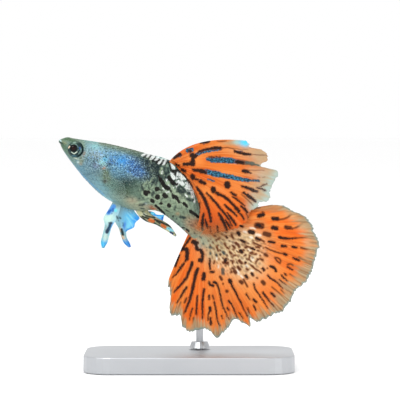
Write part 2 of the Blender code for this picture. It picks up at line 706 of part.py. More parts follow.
def join(target, piece):
    """Fuses the piece into the target with a union, applied, and removes the piece."""
    group = bpy.data.collections.new("fused_into_" + target.name)
    group.objects.link(piece)
    modifier = target.modifiers.new("union", "BOOLEAN")
    modifier.operation = "UNION"
    modifier.solver = "EXACT"
    modifier.operand_type = "COLLECTION"
    modifier.collection = group
    graph = bpy.context.evaluated_depsgraph_get()
    fused = bpy.data.meshes.new_from_object(target.evaluated_get(graph))
    target.modifiers.clear()
    target.data = fused
    bpy.data.objects.remove(piece)
    bpy.data.collections.remove(group)


def make_base(material, collection):
    """A flat plate with round corners and eased edges."""
    outline = bpy.data.curves.new("stand_base", "CURVE")
    outline.dimensions = "2D"
    outline.fill_mode = "BOTH"
    outline.extrude = BASE_HEIGHT / 2 * MM
    corner_steps = 6
    points = []
    for quarter in range(4):
        turn = quarter * math.pi / 2
        sign_x = 1 if quarter in (0, 3) else -1
        sign_y = 1 if quarter in (0, 1) else -1
        centre_x = sign_x * (BASE_LENGTH / 2 - BASE_CORNER)
        centre_y = sign_y * (BASE_DEPTH / 2 - BASE_CORNER)
        for step in range(corner_steps + 1):
            angle = turn + step / corner_steps * math.pi / 2
            points.append(
                (centre_x + BASE_CORNER * math.cos(angle), centre_y + BASE_CORNER * math.sin(angle))
            )
    spline = outline.splines.new("POLY")
    spline.points.add(len(points) - 1)
    for place, (x, y) in zip(spline.points, points):
        place.co = (x * MM, y * MM, 0.0, 1.0)
    spline.use_cyclic_u = True
    base = add_object("stand_base", outline, material, collection)
    base.location.z = BASE_HEIGHT / 2 * MM
    weld = base.modifiers.new("weld_caps", "WELD")
    weld.merge_threshold = 1e-6
    bevel = base.modifiers.new("eased_edges", "BEVEL")
    bevel.width = BASE_EDGE * MM
    bevel.segments = 2
    bevel.limit_method = "ANGLE"
    return base


def rod_path():
    """The rod's centre line: up behind the tail fin, along the body's far side, then in to the flank."""
    flank = body_surface(ROD_STATION, -math.pi / 2) + np.array([FISH_X, 0.0, FISH_Z])
    foot = BASE_HEIGHT + TOUCH_GAP
    points = [(ROD_X, ROD_OUT, foot)]
    points.append((ROD_X, ROD_OUT, foot + ROD_STRAIGHT_SHARE * (flank[2] - foot)))
    points += [(ROD_X + x, ROD_OUT, flank[2] + z) for x, z in ROD_BENDS]
    points += [(flank[0] + x, ROD_OUT + y, flank[2] + z) for x, y, z in ROD_TOP]
    tip = flank[1] + TOUCH_GAP * 1.2
    points.append((flank[0], tip + ROD_TIP_RUN, flank[2]))
    points.append((flank[0], tip, flank[2]))
    lengths = [math.dist(a, b) for a, b in zip(points, points[1:])]
    places = np.concatenate([[0.0], np.cumsum(lengths)])
    at = np.concatenate([[0.0], np.linspace(places[1], places[-1], ROD_STEPS)])
    return np.stack([smooth([(p, q[k]) for p, q in zip(places, points)], at) for k in range(3)], -1)


def make_rod(material, collection):
    """A bent rod with a round collar at its foot, as one piece."""
    path = rod_path()
    line = bpy.data.curves.new("rod_line", "CURVE")
    line.dimensions = "3D"
    line.bevel_depth = ROD_RADIUS * MM
    line.bevel_resolution = 3
    line.use_fill_caps = True
    spline = line.splines.new("POLY")
    spline.points.add(len(path) - 1)
    for place, point in zip(spline.points, path):
        place.co = (*[c * MM for c in point], 1.0)
    guide = bpy.data.objects.new("rod_line", line)
    collection.objects.link(guide)
    graph = bpy.context.evaluated_depsgraph_get()
    mesh = bpy.data.meshes.new_from_object(guide.evaluated_get(graph))
    bpy.data.objects.remove(guide)
    shape = bmesh.new()
    shape.from_mesh(mesh)
    bmesh.ops.remove_doubles(shape, verts=shape.verts, dist=1e-6)
    bmesh.ops.recalc_face_normals(shape, faces=shape.faces)
    shape.to_mesh(mesh)
    shape.free()
    mesh.materials.clear()
    rod = add_object("stand_rod", mesh, material, collection)

    collar_mesh = bpy.data.meshes.new("collar")
    shape = bmesh.new()
    bmesh.ops.create_cone(
        shape, cap_ends=True, segments=24, depth=COLLAR_HEIGHT * MM,
        radius1=COLLAR_RADIUS * MM, radius2=COLLAR_RADIUS * 0.8 * MM,
    )
    middle = Vector((path[0][0] * MM, path[0][1] * MM, (path[0][2] + COLLAR_HEIGHT / 2) * MM))
    bmesh.ops.translate(shape, verts=shape.verts, vec=middle)
    shape.to_mesh(collar_mesh)
    shape.free()
    collar = add_object("collar", collar_mesh, material, collection)
    join(rod, collar)
    rod.data.shade_smooth()
    rod.data.set_sharp_from_angle(angle=math.radians(35))
    return rod


def main():
    for obj in list(bpy.data.objects):
        bpy.data.objects.remove(obj)
    guppy = bpy.data.collections.new("fancy_guppy")
    cutters = bpy.data.collections.new("cutters")
    bpy.context.scene.collection.children.link(guppy)
    bpy.context.scene.collection.children.link(cutters)
    cutters.hide_render = True

    blue_skin = make_material("blue_silver_skin", (0.24, 0.38, 0.46), 0.35, 0.2)
    spotted_skin = make_material("spotted_green_skin", (0.22, 0.30, 0.22), 0.38, 0.1)
    orange_fin = make_material("orange_fin", (0.85, 0.18, 0.02), 0.45)
    blue_fin = make_material("pale_blue_fin", (0.22, 0.62, 0.85), 0.4)
    clear_fin = make_material("clear_fin", (0.55, 0.66, 0.62), 0.3)
    dark_fin = make_material("barred_rod_fin", (0.35, 0.22, 0.10), 0.45)
    eye_colour = make_material("eye", (0.02, 0.03, 0.03), 0.08)
    plate = make_material("stand_plate", (0.75, 0.76, 0.77), 0.35, 0.6)
    steel = make_material("stand_steel", (0.62, 0.63, 0.65), 0.25, 1.0)

    make_head(blue_skin, guppy, cutters)
    make_torso(blue_skin, guppy)
    make_tail_stem(spotted_skin, guppy)
    for side, word in ((-1, "left"), (1, "right")):
        make_eye(side, word, eye_colour, guppy)
        make_pectoral_fin(side, word, clear_fin, guppy)
    make_back_fin(orange_fin, guppy)
    make_tail_fin(orange_fin, guppy)
    make_belly_fin(-1, "left", LEFT_BELLY_FIN, blue_fin, guppy)
    make_belly_fin(1, "right", RIGHT_BELLY_FIN, blue_fin, guppy)
    make_gonopodium(dark_fin, guppy)
    make_base(plate, guppy)
    make_rod(steel, guppy)


main()
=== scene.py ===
"""Looks of the male fancy guppy: one skin with its coat of scales, wet eyes, painted fins and a stand.

Shapes repeat the named sizes of the solids, in the fish's own frame in millimetres: the origin is the
snout tip, x runs towards the tail and z up, and the fish's left side is towards -Y. Markings are placed
in pixels of the photograph, which lie on that frame's x and z at PIXEL millimetres each.
"""

import math

import bpy
import numpy as np
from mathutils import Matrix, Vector


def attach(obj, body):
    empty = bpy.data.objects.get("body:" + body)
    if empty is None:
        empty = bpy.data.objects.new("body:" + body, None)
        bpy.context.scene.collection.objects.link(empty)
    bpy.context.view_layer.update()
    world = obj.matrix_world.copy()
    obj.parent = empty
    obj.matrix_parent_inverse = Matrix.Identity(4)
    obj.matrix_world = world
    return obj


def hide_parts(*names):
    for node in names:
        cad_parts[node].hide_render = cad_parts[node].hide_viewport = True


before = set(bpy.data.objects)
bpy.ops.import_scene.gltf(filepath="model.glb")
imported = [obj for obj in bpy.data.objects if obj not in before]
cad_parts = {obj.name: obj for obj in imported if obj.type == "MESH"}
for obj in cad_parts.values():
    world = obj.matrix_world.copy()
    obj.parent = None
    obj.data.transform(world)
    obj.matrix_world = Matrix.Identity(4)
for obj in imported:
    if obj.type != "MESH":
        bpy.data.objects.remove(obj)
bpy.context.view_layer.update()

MM = 0.001
FISH_PLACE = np.array([-23.7, 0.0, 41.4])
PIXEL = 0.182
SNOUT_PIXEL = (59.0, 141.0)

# Spine and body: heights over and under the spine and half widths along it, as in the solids. The
# last places carry the flesh into the root of the tail fin.
SPINE_LENGTH = 31.2
HEAD_PITCH = 27.5
STEM_BEND = 15.0
BEND_START = 14.0
BEND_END = 30.0
BACK = [
    (0.0, 0.30), (0.3, 0.66), (1.0, 1.34), (2.0, 1.66), (4.0, 2.34), (8.0, 3.66), (12.0, 4.68),
    (16.0, 5.55), (18.5, 6.22), (20.0, 6.38), (22.0, 5.85), (24.0, 5.05), (26.0, 4.20),
    (28.0, 3.30), (30.0, 2.50), (31.2, 2.20),
]
BELLY = [
    (0.0, 0.10), (0.3, 0.28), (1.0, 0.88), (2.0, 1.50), (4.0, 2.52), (8.0, 4.18), (12.0, 5.26),
    (14.0, 5.38), (16.0, 5.26), (18.0, 4.88), (19.5, 4.25), (21.0, 3.20), (22.0, 2.72),
    (23.0, 2.50), (24.0, 2.43), (26.0, 2.38), (28.0, 2.36), (30.0, 2.40), (31.2, 2.30),
]
HALF_WIDTH = [
    (0.0, 0.50), (0.3, 0.80), (1.0, 1.15), (2.0, 1.50), (4.0, 1.98), (8.0, 2.55), (12.0, 2.88),
    (15.0, 2.84), (18.0, 2.58), (21.0, 2.22), (24.0, 1.80), (27.0, 1.32), (30.0, 0.70), (31.2, 0.12),
]
CROWN_POWER = [(0.0, 0.72), (4.0, 0.74), (8.0, 0.88), (14.0, 1.0), (31.2, 1.0)]
KEEL_POWER = [(0.0, 0.95), (6.0, 1.06), (14.0, 1.0), (31.2, 1.0)]
COAT_DEPTH = 0.04

# Head: gill cover, eye, mouth and nostrils.
GILL_TOP = 6.7
GILL_BULGE = 2.8
GILL_THROAT = -0.8
GILL_STEP = 0.13
EYE_STATION = 3.53
EYE_RISE = 0.12
EYE_RADIUS = 1.46
EYE_HALF_DEPTH = 0.92
EYE_CENTRE_OUT = 1.42
PUPIL_SHIFT = (-0.36, 0.18)
MOUTH_SLOPE = 28.0
MOUTH_LENGTH = 1.0
NOSTRIL_STATION = 1.55
NOSTRIL_ANGLE = 38.0

# Scales: rows along the body and round it, and how far each one's rear edge stands up.
SCALE_PITCH = 0.76
SCALE_ROUND = 26
SCALE_OVERLAP = 1.55
SCALE_LIFT = 0.045


def smooth(knots, at):
    """A cubic curve through (place, value) knots, with the slope at each from its neighbours."""
    places = np.array([k[0] for k in knots], float)
    values = np.array([k[1] for k in knots], float)
    slopes = np.gradient(values, places)
    at = np.clip(np.asarray(at, float), places[0], places[-1])
    i = np.clip(np.searchsorted(places, at, side="right") - 1, 0, len(places) - 2)
    step = places[i + 1] - places[i]
    t = (at - places[i]) / step
    return (
        values[i] * (2 * t**3 - 3 * t**2 + 1)
        + values[i + 1] * (3 * t**2 - 2 * t**3)
        + step * slopes[i] * (t**3 - 2 * t**2 + t)
        + step * slopes[i + 1] * (t**3 - t**2)
    )


def ease(low, high, at):
    """0 below low, 1 above high, and a smooth step between them."""
    t = np.clip((np.asarray(at, float) - low) / (high - low), 0.0, 1.0)
    return t * t * (3 - 2 * t)


def bell(distance, width):
    """1 at no distance, falling off as the exponential of minus its square."""
    return np.exp(-((distance / width) ** 2))


def mottle(x, y, size, seed):
    """Random values from 0 to 1 on a lattice of cells size wide, blended smoothly between corners."""
    table = np.random.default_rng(seed).random((64, 64))
    i, j = np.floor(x / size).astype(int), np.floor(y / size).astype(int)
    u, v = ease(0, 1, x / size - i), ease(0, 1, y / size - j)
    low = table[i % 64, j % 64] * (1 - u) + table[(i + 1) % 64, j % 64] * u
    high = table[i % 64, (j + 1) % 64] * (1 - u) + table[(i + 1) % 64, (j + 1) % 64] * u
    return low * (1 - v) + high * v


def heading(s):
    """The spine's slope below the horizontal at s, in radians."""
    return np.radians(HEAD_PITCH + STEM_BEND * ease(BEND_START, BEND_END, s))


def spine(s):
    """The spine's x and z at s, summed along its heading."""
    steps = np.linspace(0.0, SPINE_LENGTH, 625)
    middle = heading((steps[1:] + steps[:-1]) / 2)
    length = np.diff(steps)
    x = np.concatenate([[0.0], np.cumsum(np.cos(middle) * length)])
    z = np.concatenate([[0.0], np.cumsum(-np.sin(middle) * length)])
    return np.interp(s, steps, x), np.interp(s, steps, z)


def body_surface(s, angle, swell=0.0):
    """Points of the body at s along the spine. Angle 0 is the back and 90 degrees the left flank.

    The section is a superellipse with its own height above and below the spine. Swell adds to it.
    """
    s, angle = np.broadcast_arrays(np.asarray(s, float), np.asarray(angle, float))
    up, side = np.cos(angle), np.sin(angle)
    power = np.where(up >= 0, smooth(CROWN_POWER, s), smooth(KEEL_POWER, s))
    height = np.where(up >= 0, smooth(BACK, s), smooth(BELLY, s)) + swell
    width = smooth(HALF_WIDTH, s) + swell
    rise = height * np.sign(up) * np.abs(up) ** power
    out = width * np.sign(side) * np.abs(side) ** power
    x, z = spine(s)
    slope = heading(s)
    return np.stack([x + rise * np.sin(slope), -out, z + rise * np.cos(slope)], axis=-1)


def gill_edge(angle):
    """Where the gill cover ends along the spine, for each angle round the body."""
    return GILL_TOP + GILL_BULGE * np.sin(angle) ** 2 + GILL_THROAT * (1 - np.cos(angle)) / 2


def eye_centre(side):
    x, z = spine(EYE_STATION)
    slope = heading(EYE_STATION)
    return np.array(
        [x + EYE_RISE * math.sin(slope), side * EYE_CENTRE_OUT, z + EYE_RISE * math.cos(slope)]
    )


def flesh(s, angle):
    """How far the skin stands off the plain body: lips, mouth line, nostrils, gill cover and folds."""
    plain = body_surface(s, angle)
    slope = math.radians(MOUTH_SLOPE)
    along = plain[..., 0] * math.cos(slope) - plain[..., 2] * math.sin(slope)
    across = plain[..., 0] * math.sin(slope) + plain[..., 2] * math.cos(slope)
    at_mouth = 1 - ease(MOUTH_LENGTH, MOUTH_LENGTH + 0.4, along)
    lips = (0.10 * bell(np.abs(across) - 0.17, 0.13) - 0.13 * bell(across, 0.06)) * at_mouth
    turned = np.abs((angle + math.pi) % (2 * math.pi) - math.pi)
    around = (turned - math.radians(NOSTRIL_ANGLE)) * 1.4
    nostril = np.hypot(s - NOSTRIL_STATION, around)
    pits = 0.05 * bell(nostril - 0.2, 0.08) - 0.14 * bell(nostril, 0.11)
    flank = ease(0.3, 0.6, np.abs(np.sin(angle)))
    behind = s - gill_edge(angle)
    cover = ease(-2.4, -0.1, behind) * (1 - ease(-0.05, 0.22, behind))
    groove = bell(behind - 0.26, 0.16)
    inner_cover = bell(behind + 2.9, 0.14)
    gills = (GILL_STEP * cover - 0.07 * groove - 0.035 * inner_cover) * flank
    blocks = 0.02 * np.sin(2 * math.pi * (s + 1.2 * np.abs(np.cos(angle))) / 1.5) * ease(13, 18, s)
    return lips + pits + gills + blocks * flank * (1 - ease(28, 30, s)) - COAT_DEPTH


def seat_eyes(points):
    """Sinks the skin behind each eyeball, and raises a thin fold of skin round it."""
    points = points.copy()
    centre = eye_centre(1)
    away = np.hypot(points[..., 0] - centre[0], points[..., 2] - centre[2])
    side = np.sign(points[..., 1])
    out = np.abs(points[..., 1])
    globe = EYE_CENTRE_OUT + EYE_HALF_DEPTH * np.sqrt(np.clip(1 - (away / EYE_RADIUS) ** 2, 0, 1))
    bowl = np.minimum(out, globe - 0.16)
    into = 1 - ease(EYE_RADIUS - 0.10, EYE_RADIUS + 0.05, away)
    fold = 0.13 * bell(away - EYE_RADIUS - 0.07, 0.11)
    points[..., 1] = side * np.where(out > 0.6, bowl * into + (out + fold) * (1 - into), out)
    return points


def to_model(points):
    """From the fish's own frame in millimetres to the model's frame in metres."""
    return (np.asarray(points, float) + FISH_PLACE) * MM


def photo_place(points):
    """The pixel of the photograph at which each point of the fish's frame is seen from its side."""
    return points[..., 0] / PIXEL + SNOUT_PIXEL[0], SNOUT_PIXEL[1] - points[..., 2] / PIXEL


def linear(code):
    """An sRGB hex colour as linear red, green and blue."""
    value = np.array([int(code[i : i + 2], 16) for i in (1, 3, 5)]) / 255
    return np.where(value <= 0.04045, value / 12.92, ((value + 0.055) / 1.055) ** 2.4)


def tint(base, colour, amount):
    """The base colours moved towards one colour, or one for each point, by an amount from 0 to 1."""
    colour = linear(colour) if isinstance(colour, str) else colour
    amount = np.asarray(amount)[..., None]
    return base * (1 - amount) + colour * amount


def wash(x, y, place):
    """An airbrushed ellipse: x, y, half length, half breadth and turn in degrees, fading as a bell."""
    turn = math.radians(place[4])
    along = ((x - place[0]) * math.cos(turn) + (y - place[1]) * math.sin(turn)) / place[2]
    across = (-(x - place[0]) * math.sin(turn) + (y - place[1]) * math.cos(turn)) / place[3]
    return np.exp(-((along**2 + across**2) ** 1.3))


def dabs(colour, x, y, places):
    """Airbrushes ellipses over the colours, one after another."""
    for *place, code, strength in places:
        colour = tint(colour, code, strength * wash(x, y, place))
    return colour


def mark_gap(x, y, marks, front=0.0, rear=0.0):
    """Pixels from each point to the nearest brush mark's edge, less than 0 inside it.

    A mark is its greatest half width and then the x and y of its points. Front and rear are the
    shares of that width which it loses at its first and last point.
    """
    nearest = np.full(x.shape, 99.0)
    for width, *flat in marks:
        knots = np.reshape(flat, (-1, 2))
        share = np.linspace(0, 1, len(knots))
        widths = width * (1 - front * (1 - share) ** 3 - rear * share**1.5)
        if len(knots) == 1:
            knots, widths = np.repeat(knots, 2, axis=0), [width, width]
        for i in range(len(knots) - 1):
            run, drop = knots[i + 1] - knots[i]
            right, down = x - knots[i][0], y - knots[i][1]
            t = np.clip((right * run + down * drop) / max(run**2 + drop**2, 1e-9), 0, 1)
            gap = np.hypot(right - t * run, down - t * drop)
            nearest = np.minimum(nearest, gap - widths[i] - (widths[i + 1] - widths[i]) * t)
    return nearest


def inside(gap, soft=0.6):
    """1 well inside a mark and 0 well outside, with an edge soft pixels to each side."""
    return 1 - ease(-soft, soft, gap)


def waver(x, y, amount, seed):
    """Moves the points by a little noise, so that marks drawn there get rough edges."""
    return (
        x + amount * (mottle(x, y, 1.7, seed) - 0.5),
        y + amount * (mottle(x, y, 1.7, seed + 1) - 0.5),
    )


# Meshes


def grid_quads(columns, rows, closed=False):
    """Quads between the neighbours of a grid whose points are numbered column by column."""
    i = np.arange(columns if closed else columns - 1)[:, None]
    j = np.arange(rows - 1)[None, :]
    k = (i + 1) % columns
    quads = [i * rows + j, k * rows + j, k * rows + j + 1, i * rows + j + 1]
    return np.stack(np.broadcast_arrays(*quads), axis=-1).reshape(-1, 4)


def rim_of(columns, rows):
    """The numbers of a grid's outer points, in order round it."""
    sides = [
        np.arange(columns) * rows,
        (columns - 1) * rows + np.arange(1, rows),
        np.arange(columns - 2, -1, -1) * rows + rows - 1,
        np.arange(rows - 2, 0, -1),
    ]
    return np.concatenate(sides)


def lofted(rings, front, rear):
    """Points and faces of a closed skin through rings, shape (rings, columns, 3), with two poles."""
    count, columns, _ = rings.shape
    points = np.concatenate([rings.reshape(-1, 3), [front], [rear]])
    ring = np.arange(columns)
    after = (ring + 1) % columns
    quads = grid_quads(count, columns)
    seam = np.arange(count - 1) * columns
    seam = np.stack([seam + columns - 1, seam + 2 * columns - 1, seam + columns, seam], axis=-1)
    last = (count - 1) * columns
    front_fan = np.stack([ring, after, np.full(columns, count * columns)], axis=-1)
    rear_fan = np.stack([last + after, last + ring, np.full(columns, count * columns + 1)], axis=-1)
    return points, [*quads.tolist(), *seam.tolist(), *front_fan.tolist(), *rear_fan.tolist()]


def sheet(middle, thickness):
    """Points and faces of a closed thin sheet round a surface, shape (columns, rows, 3)."""
    columns, rows, _ = middle.shape
    normal = np.cross(np.gradient(middle, axis=0), np.gradient(middle, axis=1))
    normal /= np.maximum(np.linalg.norm(normal, axis=-1, keepdims=True), 1e-9)
    half = normal * thickness[..., None] / 2
    points = np.concatenate([(middle + half).reshape(-1, 3), (middle - half).reshape(-1, 3)])
    front = grid_quads(columns, rows)
    back = front[:, ::-1] + columns * rows
    rim = rim_of(columns, rows)
    after = np.roll(rim, -1)
    edge = np.stack([after, rim, rim + columns * rows, after + columns * rows], axis=-1)
    return points, [*front.tolist(), *back.tolist(), *edge.tolist()]


def outward(points, faces):
    """The faces, turned over if the closed shape they make is inside out."""
    first = np.array([points[f[0]] for f in faces])
    volume = 0.0
    for a, b in ((1, 2), (2, 3)):
        there = np.array([len(f) > b for f in faces])
        one = np.array([points[f[a]] for f, t in zip(faces, there) if t])
        two = np.array([points[f[b]] for f, t in zip(faces, there) if t])
        volume += np.einsum("ij,ij->", first[there], np.cross(one, two))
    return faces if volume > 0 else [f[::-1] for f in faces]


# Colours are given as the photograph shows them, and the light makes pure white lighter than that
PIGMENT_SHARE = 0.80


def add_piece(name, shape, material, nodes=(), paint=None, values=None):
    """Makes a piece of the object from (points, faces), with a colour and numbers at each point."""
    points, faces = shape
    mesh = bpy.data.meshes.new(name)
    mesh.from_pydata(to_model(points).tolist(), [], outward(points, faces))
    if paint is not None:
        layer = mesh.color_attributes.new("pigment", "FLOAT_COLOR", "POINT")
        shaded = paint * [PIGMENT_SHARE, PIGMENT_SHARE, PIGMENT_SHARE, 1.0]
        layer.data.foreach_set("color", shaded.astype(np.float32).ravel())
    for word, numbers in (values or {}).items():
        layer = mesh.attributes.new(word, "FLOAT", "POINT")
        layer.data.foreach_set("value", numbers.astype(np.float32).ravel())
    mesh.shade_smooth()
    mesh.materials.append(material)
    piece = bpy.data.objects.new(name, mesh)
    bpy.context.scene.collection.objects.link(piece)
    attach(piece, "root")
    if nodes:
        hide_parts(*nodes)
    return piece


def opaque(colours, alpha=1.0):
    """Adds the alpha channel to an array of colours."""
    return np.concatenate([colours, np.broadcast_to(alpha, colours.shape[:-1])[..., None]], axis=-1)


# Materials


def node(tree, kind, inputs=None, **settings):
    """Adds a node with its settings. Inputs are values or other nodes' outputs, by socket name."""
    added = tree.nodes.new(kind)
    for key, value in settings.items():
        setattr(added, key, value)
    for socket, value in (inputs or {}).items():
        if isinstance(value, bpy.types.NodeSocket):
            tree.links.new(value, added.inputs[socket])
        else:
            added.inputs[socket].default_value = value
    return added


def new_material(name):
    material = bpy.data.materials.new(name)
    material.use_nodes = True
    tree = material.node_tree
    tree.nodes.clear()
    return material, tree


def finish_material(tree, **inputs):
    named = {key.replace("_", " "): value for key, value in inputs.items()}
    shader = node(tree, "ShaderNodeBsdfPrincipled", named)
    node(tree, "ShaderNodeOutputMaterial", {"Surface": shader.outputs[0]})


def per_millimetre(size):
    """The scale of a texture on object coordinates whose features are size millimetres wide."""
    return 1 / (size * MM)


def marked(tree, base, gap, noise, rough, soft, code, strength):
    """Paints marks over a colour: where the gap to their edge, roughened by a noise, is under 0."""
    wobble = node(tree, "ShaderNodeMath", {0: noise, 1: 2 * rough, 2: -rough}, operation="MULTIPLY_ADD")
    near = node(tree, "ShaderNodeMath", {0: gap, 1: wobble.outputs[0]}, operation="ADD")
    share = node(
        tree, "ShaderNodeMapRange",
        {"Value": near.outputs[0], "From Min": soft, "From Max": -soft, "To Min": 0.0, "To Max": strength},
    )
    return mixed(tree, share.outputs[0], base, colour4(code))


def mixed(tree, factor, one, other):
    """A colour between two others."""
    mix = node(tree, "ShaderNodeMix", {"Factor": factor, "A": one, "B": other}, data_type="RGBA")
    return mix.outputs["Result"]


def noise_of(tree, place, size, detail=2.0):
    """Smooth noise from 0 to 1 with features of a size in millimetres."""
    inputs = {"Vector": place, "Scale": per_millimetre(size), "Detail": detail, "Roughness": 0.65}
    return node(tree, "ShaderNodeTexNoise", inputs).outputs[0]


def attribute(tree, name, output="Fac"):
    return node(tree, "ShaderNodeAttribute", attribute_name=name).outputs[output]


def speckled(tree, base, noise, low, high, amount, colour):
    """Specks of a colour where the noise goes from low to high, as strong as amount."""
    share = node(
        tree, "ShaderNodeMapRange",
        {"Value": noise, "From Min": low, "From Max": high, "To Min": 0.0, "To Max": 0.9},
    )
    share = node(tree, "ShaderNodeMath", {0: share.outputs[0], 1: amount}, operation="MULTIPLY")
    return mixed(tree, share.outputs[0], base, colour)


def make_skin_material():
    """Living fish skin under a film of water: pigment, glinting guanine specks, white and black marks."""
    material, tree = new_material("wet_fish_skin")
    place = node(tree, "ShaderNodeTexCoord").outputs["Object"]
    glint = attribute(tree, "glint")
    # Pigment cells about 0.2 mm apart
    cells = noise_of(tree, place, 0.24, 3.0)
    hue = node(
        tree, "ShaderNodeMapRange",
        {"Value": noise_of(tree, place, 0.7), "From Min": 0.42, "From Max": 0.60},
    )
    blues = mixed(tree, hue.outputs[0], colour4("#98c3d7"), colour4("#4382cb"))
    specks = mixed(tree, attribute(tree, "azure"), colour4("#a7b59d"), blues)
    colour = speckled(tree, attribute(tree, "pigment", "Color"), cells, 0.515, 0.62, glint, specks)
    colour = speckled(tree, colour, cells, 0.48, 0.38, glint, colour4("#182d3e"))
    edges = noise_of(tree, place, 0.20)
    colour = marked(tree, colour, attribute(tree, "white"), edges, 0.6, 0.45, "#fcfffe", 1.0)
    colour = marked(tree, colour, attribute(tree, "black"), edges, 1.2, 0.35, "#0a0505", 0.98)
    bump = node(
        tree, "ShaderNodeBump",
        {"Height": noise_of(tree, place, 0.16), "Strength": 0.35, "Distance": 0.03 * MM},
    )
    finish_material(
        tree, Base_Color=colour, Metallic=attribute(tree, "silver"), Roughness=0.36,
        Normal=bump.outputs[0], Specular_IOR_Level=0.08, Coat_Weight=0.14, Coat_Roughness=0.10,
    )
    return material


def colour4(code):
    return (*linear(code), 1.0)


def make_fin_material():
    """Fin membrane, wet and satin: pigment between bony rays, blue bars and black marks with brown rims."""
    material, tree = new_material("fin_membrane")
    place = node(tree, "ShaderNodeTexCoord").outputs["Object"]
    pigment = node(tree, "ShaderNodeAttribute", attribute_name="pigment")
    edges = noise_of(tree, place, 0.17)
    colour = marked(tree, pigment.outputs["Color"], attribute(tree, "blue"), edges, 1.5, 0.4, "#102431", 1.0)
    glint = node(
        tree, "ShaderNodeMapRange",
        {"Value": attribute(tree, "blue"), "From Min": 0.6, "From Max": -0.6, "To Min": 0.0, "To Max": 1.0},
    )
    colour = speckled(
        tree, colour, noise_of(tree, place, 0.20, 3.0), 0.47, 0.62, glint.outputs[0], colour4("#4088aa")
    )
    black = attribute(tree, "black")
    rim = node(tree, "ShaderNodeMath", {0: black, 1: -0.5}, operation="ADD")
    colour = marked(tree, colour, rim.outputs[0], edges, 1.6, 0.8, "#77330e", 0.8)
    colour = marked(tree, colour, black, edges, 1.8, 0.4, "#160d0b", 0.95)
    # Joints of the rays and folds between them, a tenth of a millimetre wide
    wave = node(tree, "ShaderNodeMath", {0: attribute(tree, "rays"), 1: 2 * math.pi}, operation="MULTIPLY")
    ridge = node(tree, "ShaderNodeMath", {0: wave.outputs[0]}, operation="SINE")
    bump = node(
        tree, "ShaderNodeBump",
        {"Height": ridge.outputs[0], "Strength": 0.5, "Distance": 0.03 * MM},
    )
    finish_material(
        tree, Base_Color=colour, Roughness=0.46, Alpha=pigment.outputs["Alpha"],
        Normal=bump.outputs[0], Specular_IOR_Level=0.07, Coat_Weight=0.1, Coat_Roughness=0.15,
    )
    return material


def make_eye_material():
    """Eyeball under a wet cornea: painted iris and black pupil, mirror smooth."""
    material, tree = new_material("wet_eye")
    pigment = node(tree, "ShaderNodeAttribute", attribute_name="pigment")
    place = node(tree, "ShaderNodeTexCoord").outputs["Object"]
    grain = node(
        tree, "ShaderNodeTexNoise",
        {"Vector": place, "Scale": per_millimetre(0.12), "Detail": 2.0},
    )
    rough = node(
        tree, "ShaderNodeMapRange",
        {"Value": grain.outputs[0], "To Min": 0.10, "To Max": 0.30},
    )
    finish_material(
        tree, Base_Color=pigment.outputs["Color"], Roughness=rough.outputs[0],
        Specular_IOR_Level=0.02, Coat_Weight=0.25, Coat_Roughness=0.02,
    )
    return material


def make_plate_material():
    """Anodised aluminium, bead blasted: pale, satin, with a fine even grain."""
    material, tree = new_material("anodised_aluminium")
    place = node(tree, "ShaderNodeTexCoord").outputs["Object"]
    grain = node(
        tree, "ShaderNodeTexNoise", {"Vector": place, "Scale": per_millimetre(0.15), "Detail": 2.0}
    )
    drift = node(
        tree, "ShaderNodeTexNoise", {"Vector": place, "Scale": per_millimetre(9.0), "Detail": 2.0}
    )
    colour = node(
        tree, "ShaderNodeMix",
        {"Factor": drift.outputs[0], "A": colour4("#b0b3b7"), "B": colour4("#bcbec1")},
        data_type="RGBA",
    )
    rough = node(
        tree, "ShaderNodeMapRange", {"Value": grain.outputs[0], "To Min": 0.34, "To Max": 0.48}
    )
    bump = node(
        tree, "ShaderNodeBump",
        {"Height": grain.outputs[0], "Strength": 0.3, "Distance": 0.02 * MM},
    )
    finish_material(
        tree, Base_Color=colour.outputs["Result"], Metallic=0.85, Roughness=rough.outputs[0],
        Normal=bump.outputs[0],
    )
    return material


def make_rod_material():
    """Stainless steel rod, drawn and brushed along its length."""
    material, tree = new_material("brushed_stainless_steel")
    place = node(tree, "ShaderNodeTexCoord").outputs["Object"]
    along = node(
        tree, "ShaderNodeMapping", {"Vector": place, "Scale": (1.0, 1.0, 0.04)}
    )
    lines = node(
        tree, "ShaderNodeTexNoise",
        {"Vector": along.outputs[0], "Scale": per_millimetre(0.08), "Detail": 2.0},
    )
    rough = node(
        tree, "ShaderNodeMapRange", {"Value": lines.outputs[0], "To Min": 0.18, "To Max": 0.36}
    )
    colour = node(
        tree, "ShaderNodeMix",
        {"Factor": lines.outputs[0], "A": colour4("#a3a5a8"), "B": colour4("#babcbf")},
        data_type="RGBA",
    )
    bump = node(
        tree, "ShaderNodeBump",
        {"Height": lines.outputs[0], "Strength": 0.2, "Distance": 0.01 * MM},
    )
    finish_material(
        tree, Base_Color=colour.outputs["Result"], Metallic=1.0, Roughness=rough.outputs[0],
        Normal=bump.outputs[0],
    )
    return material


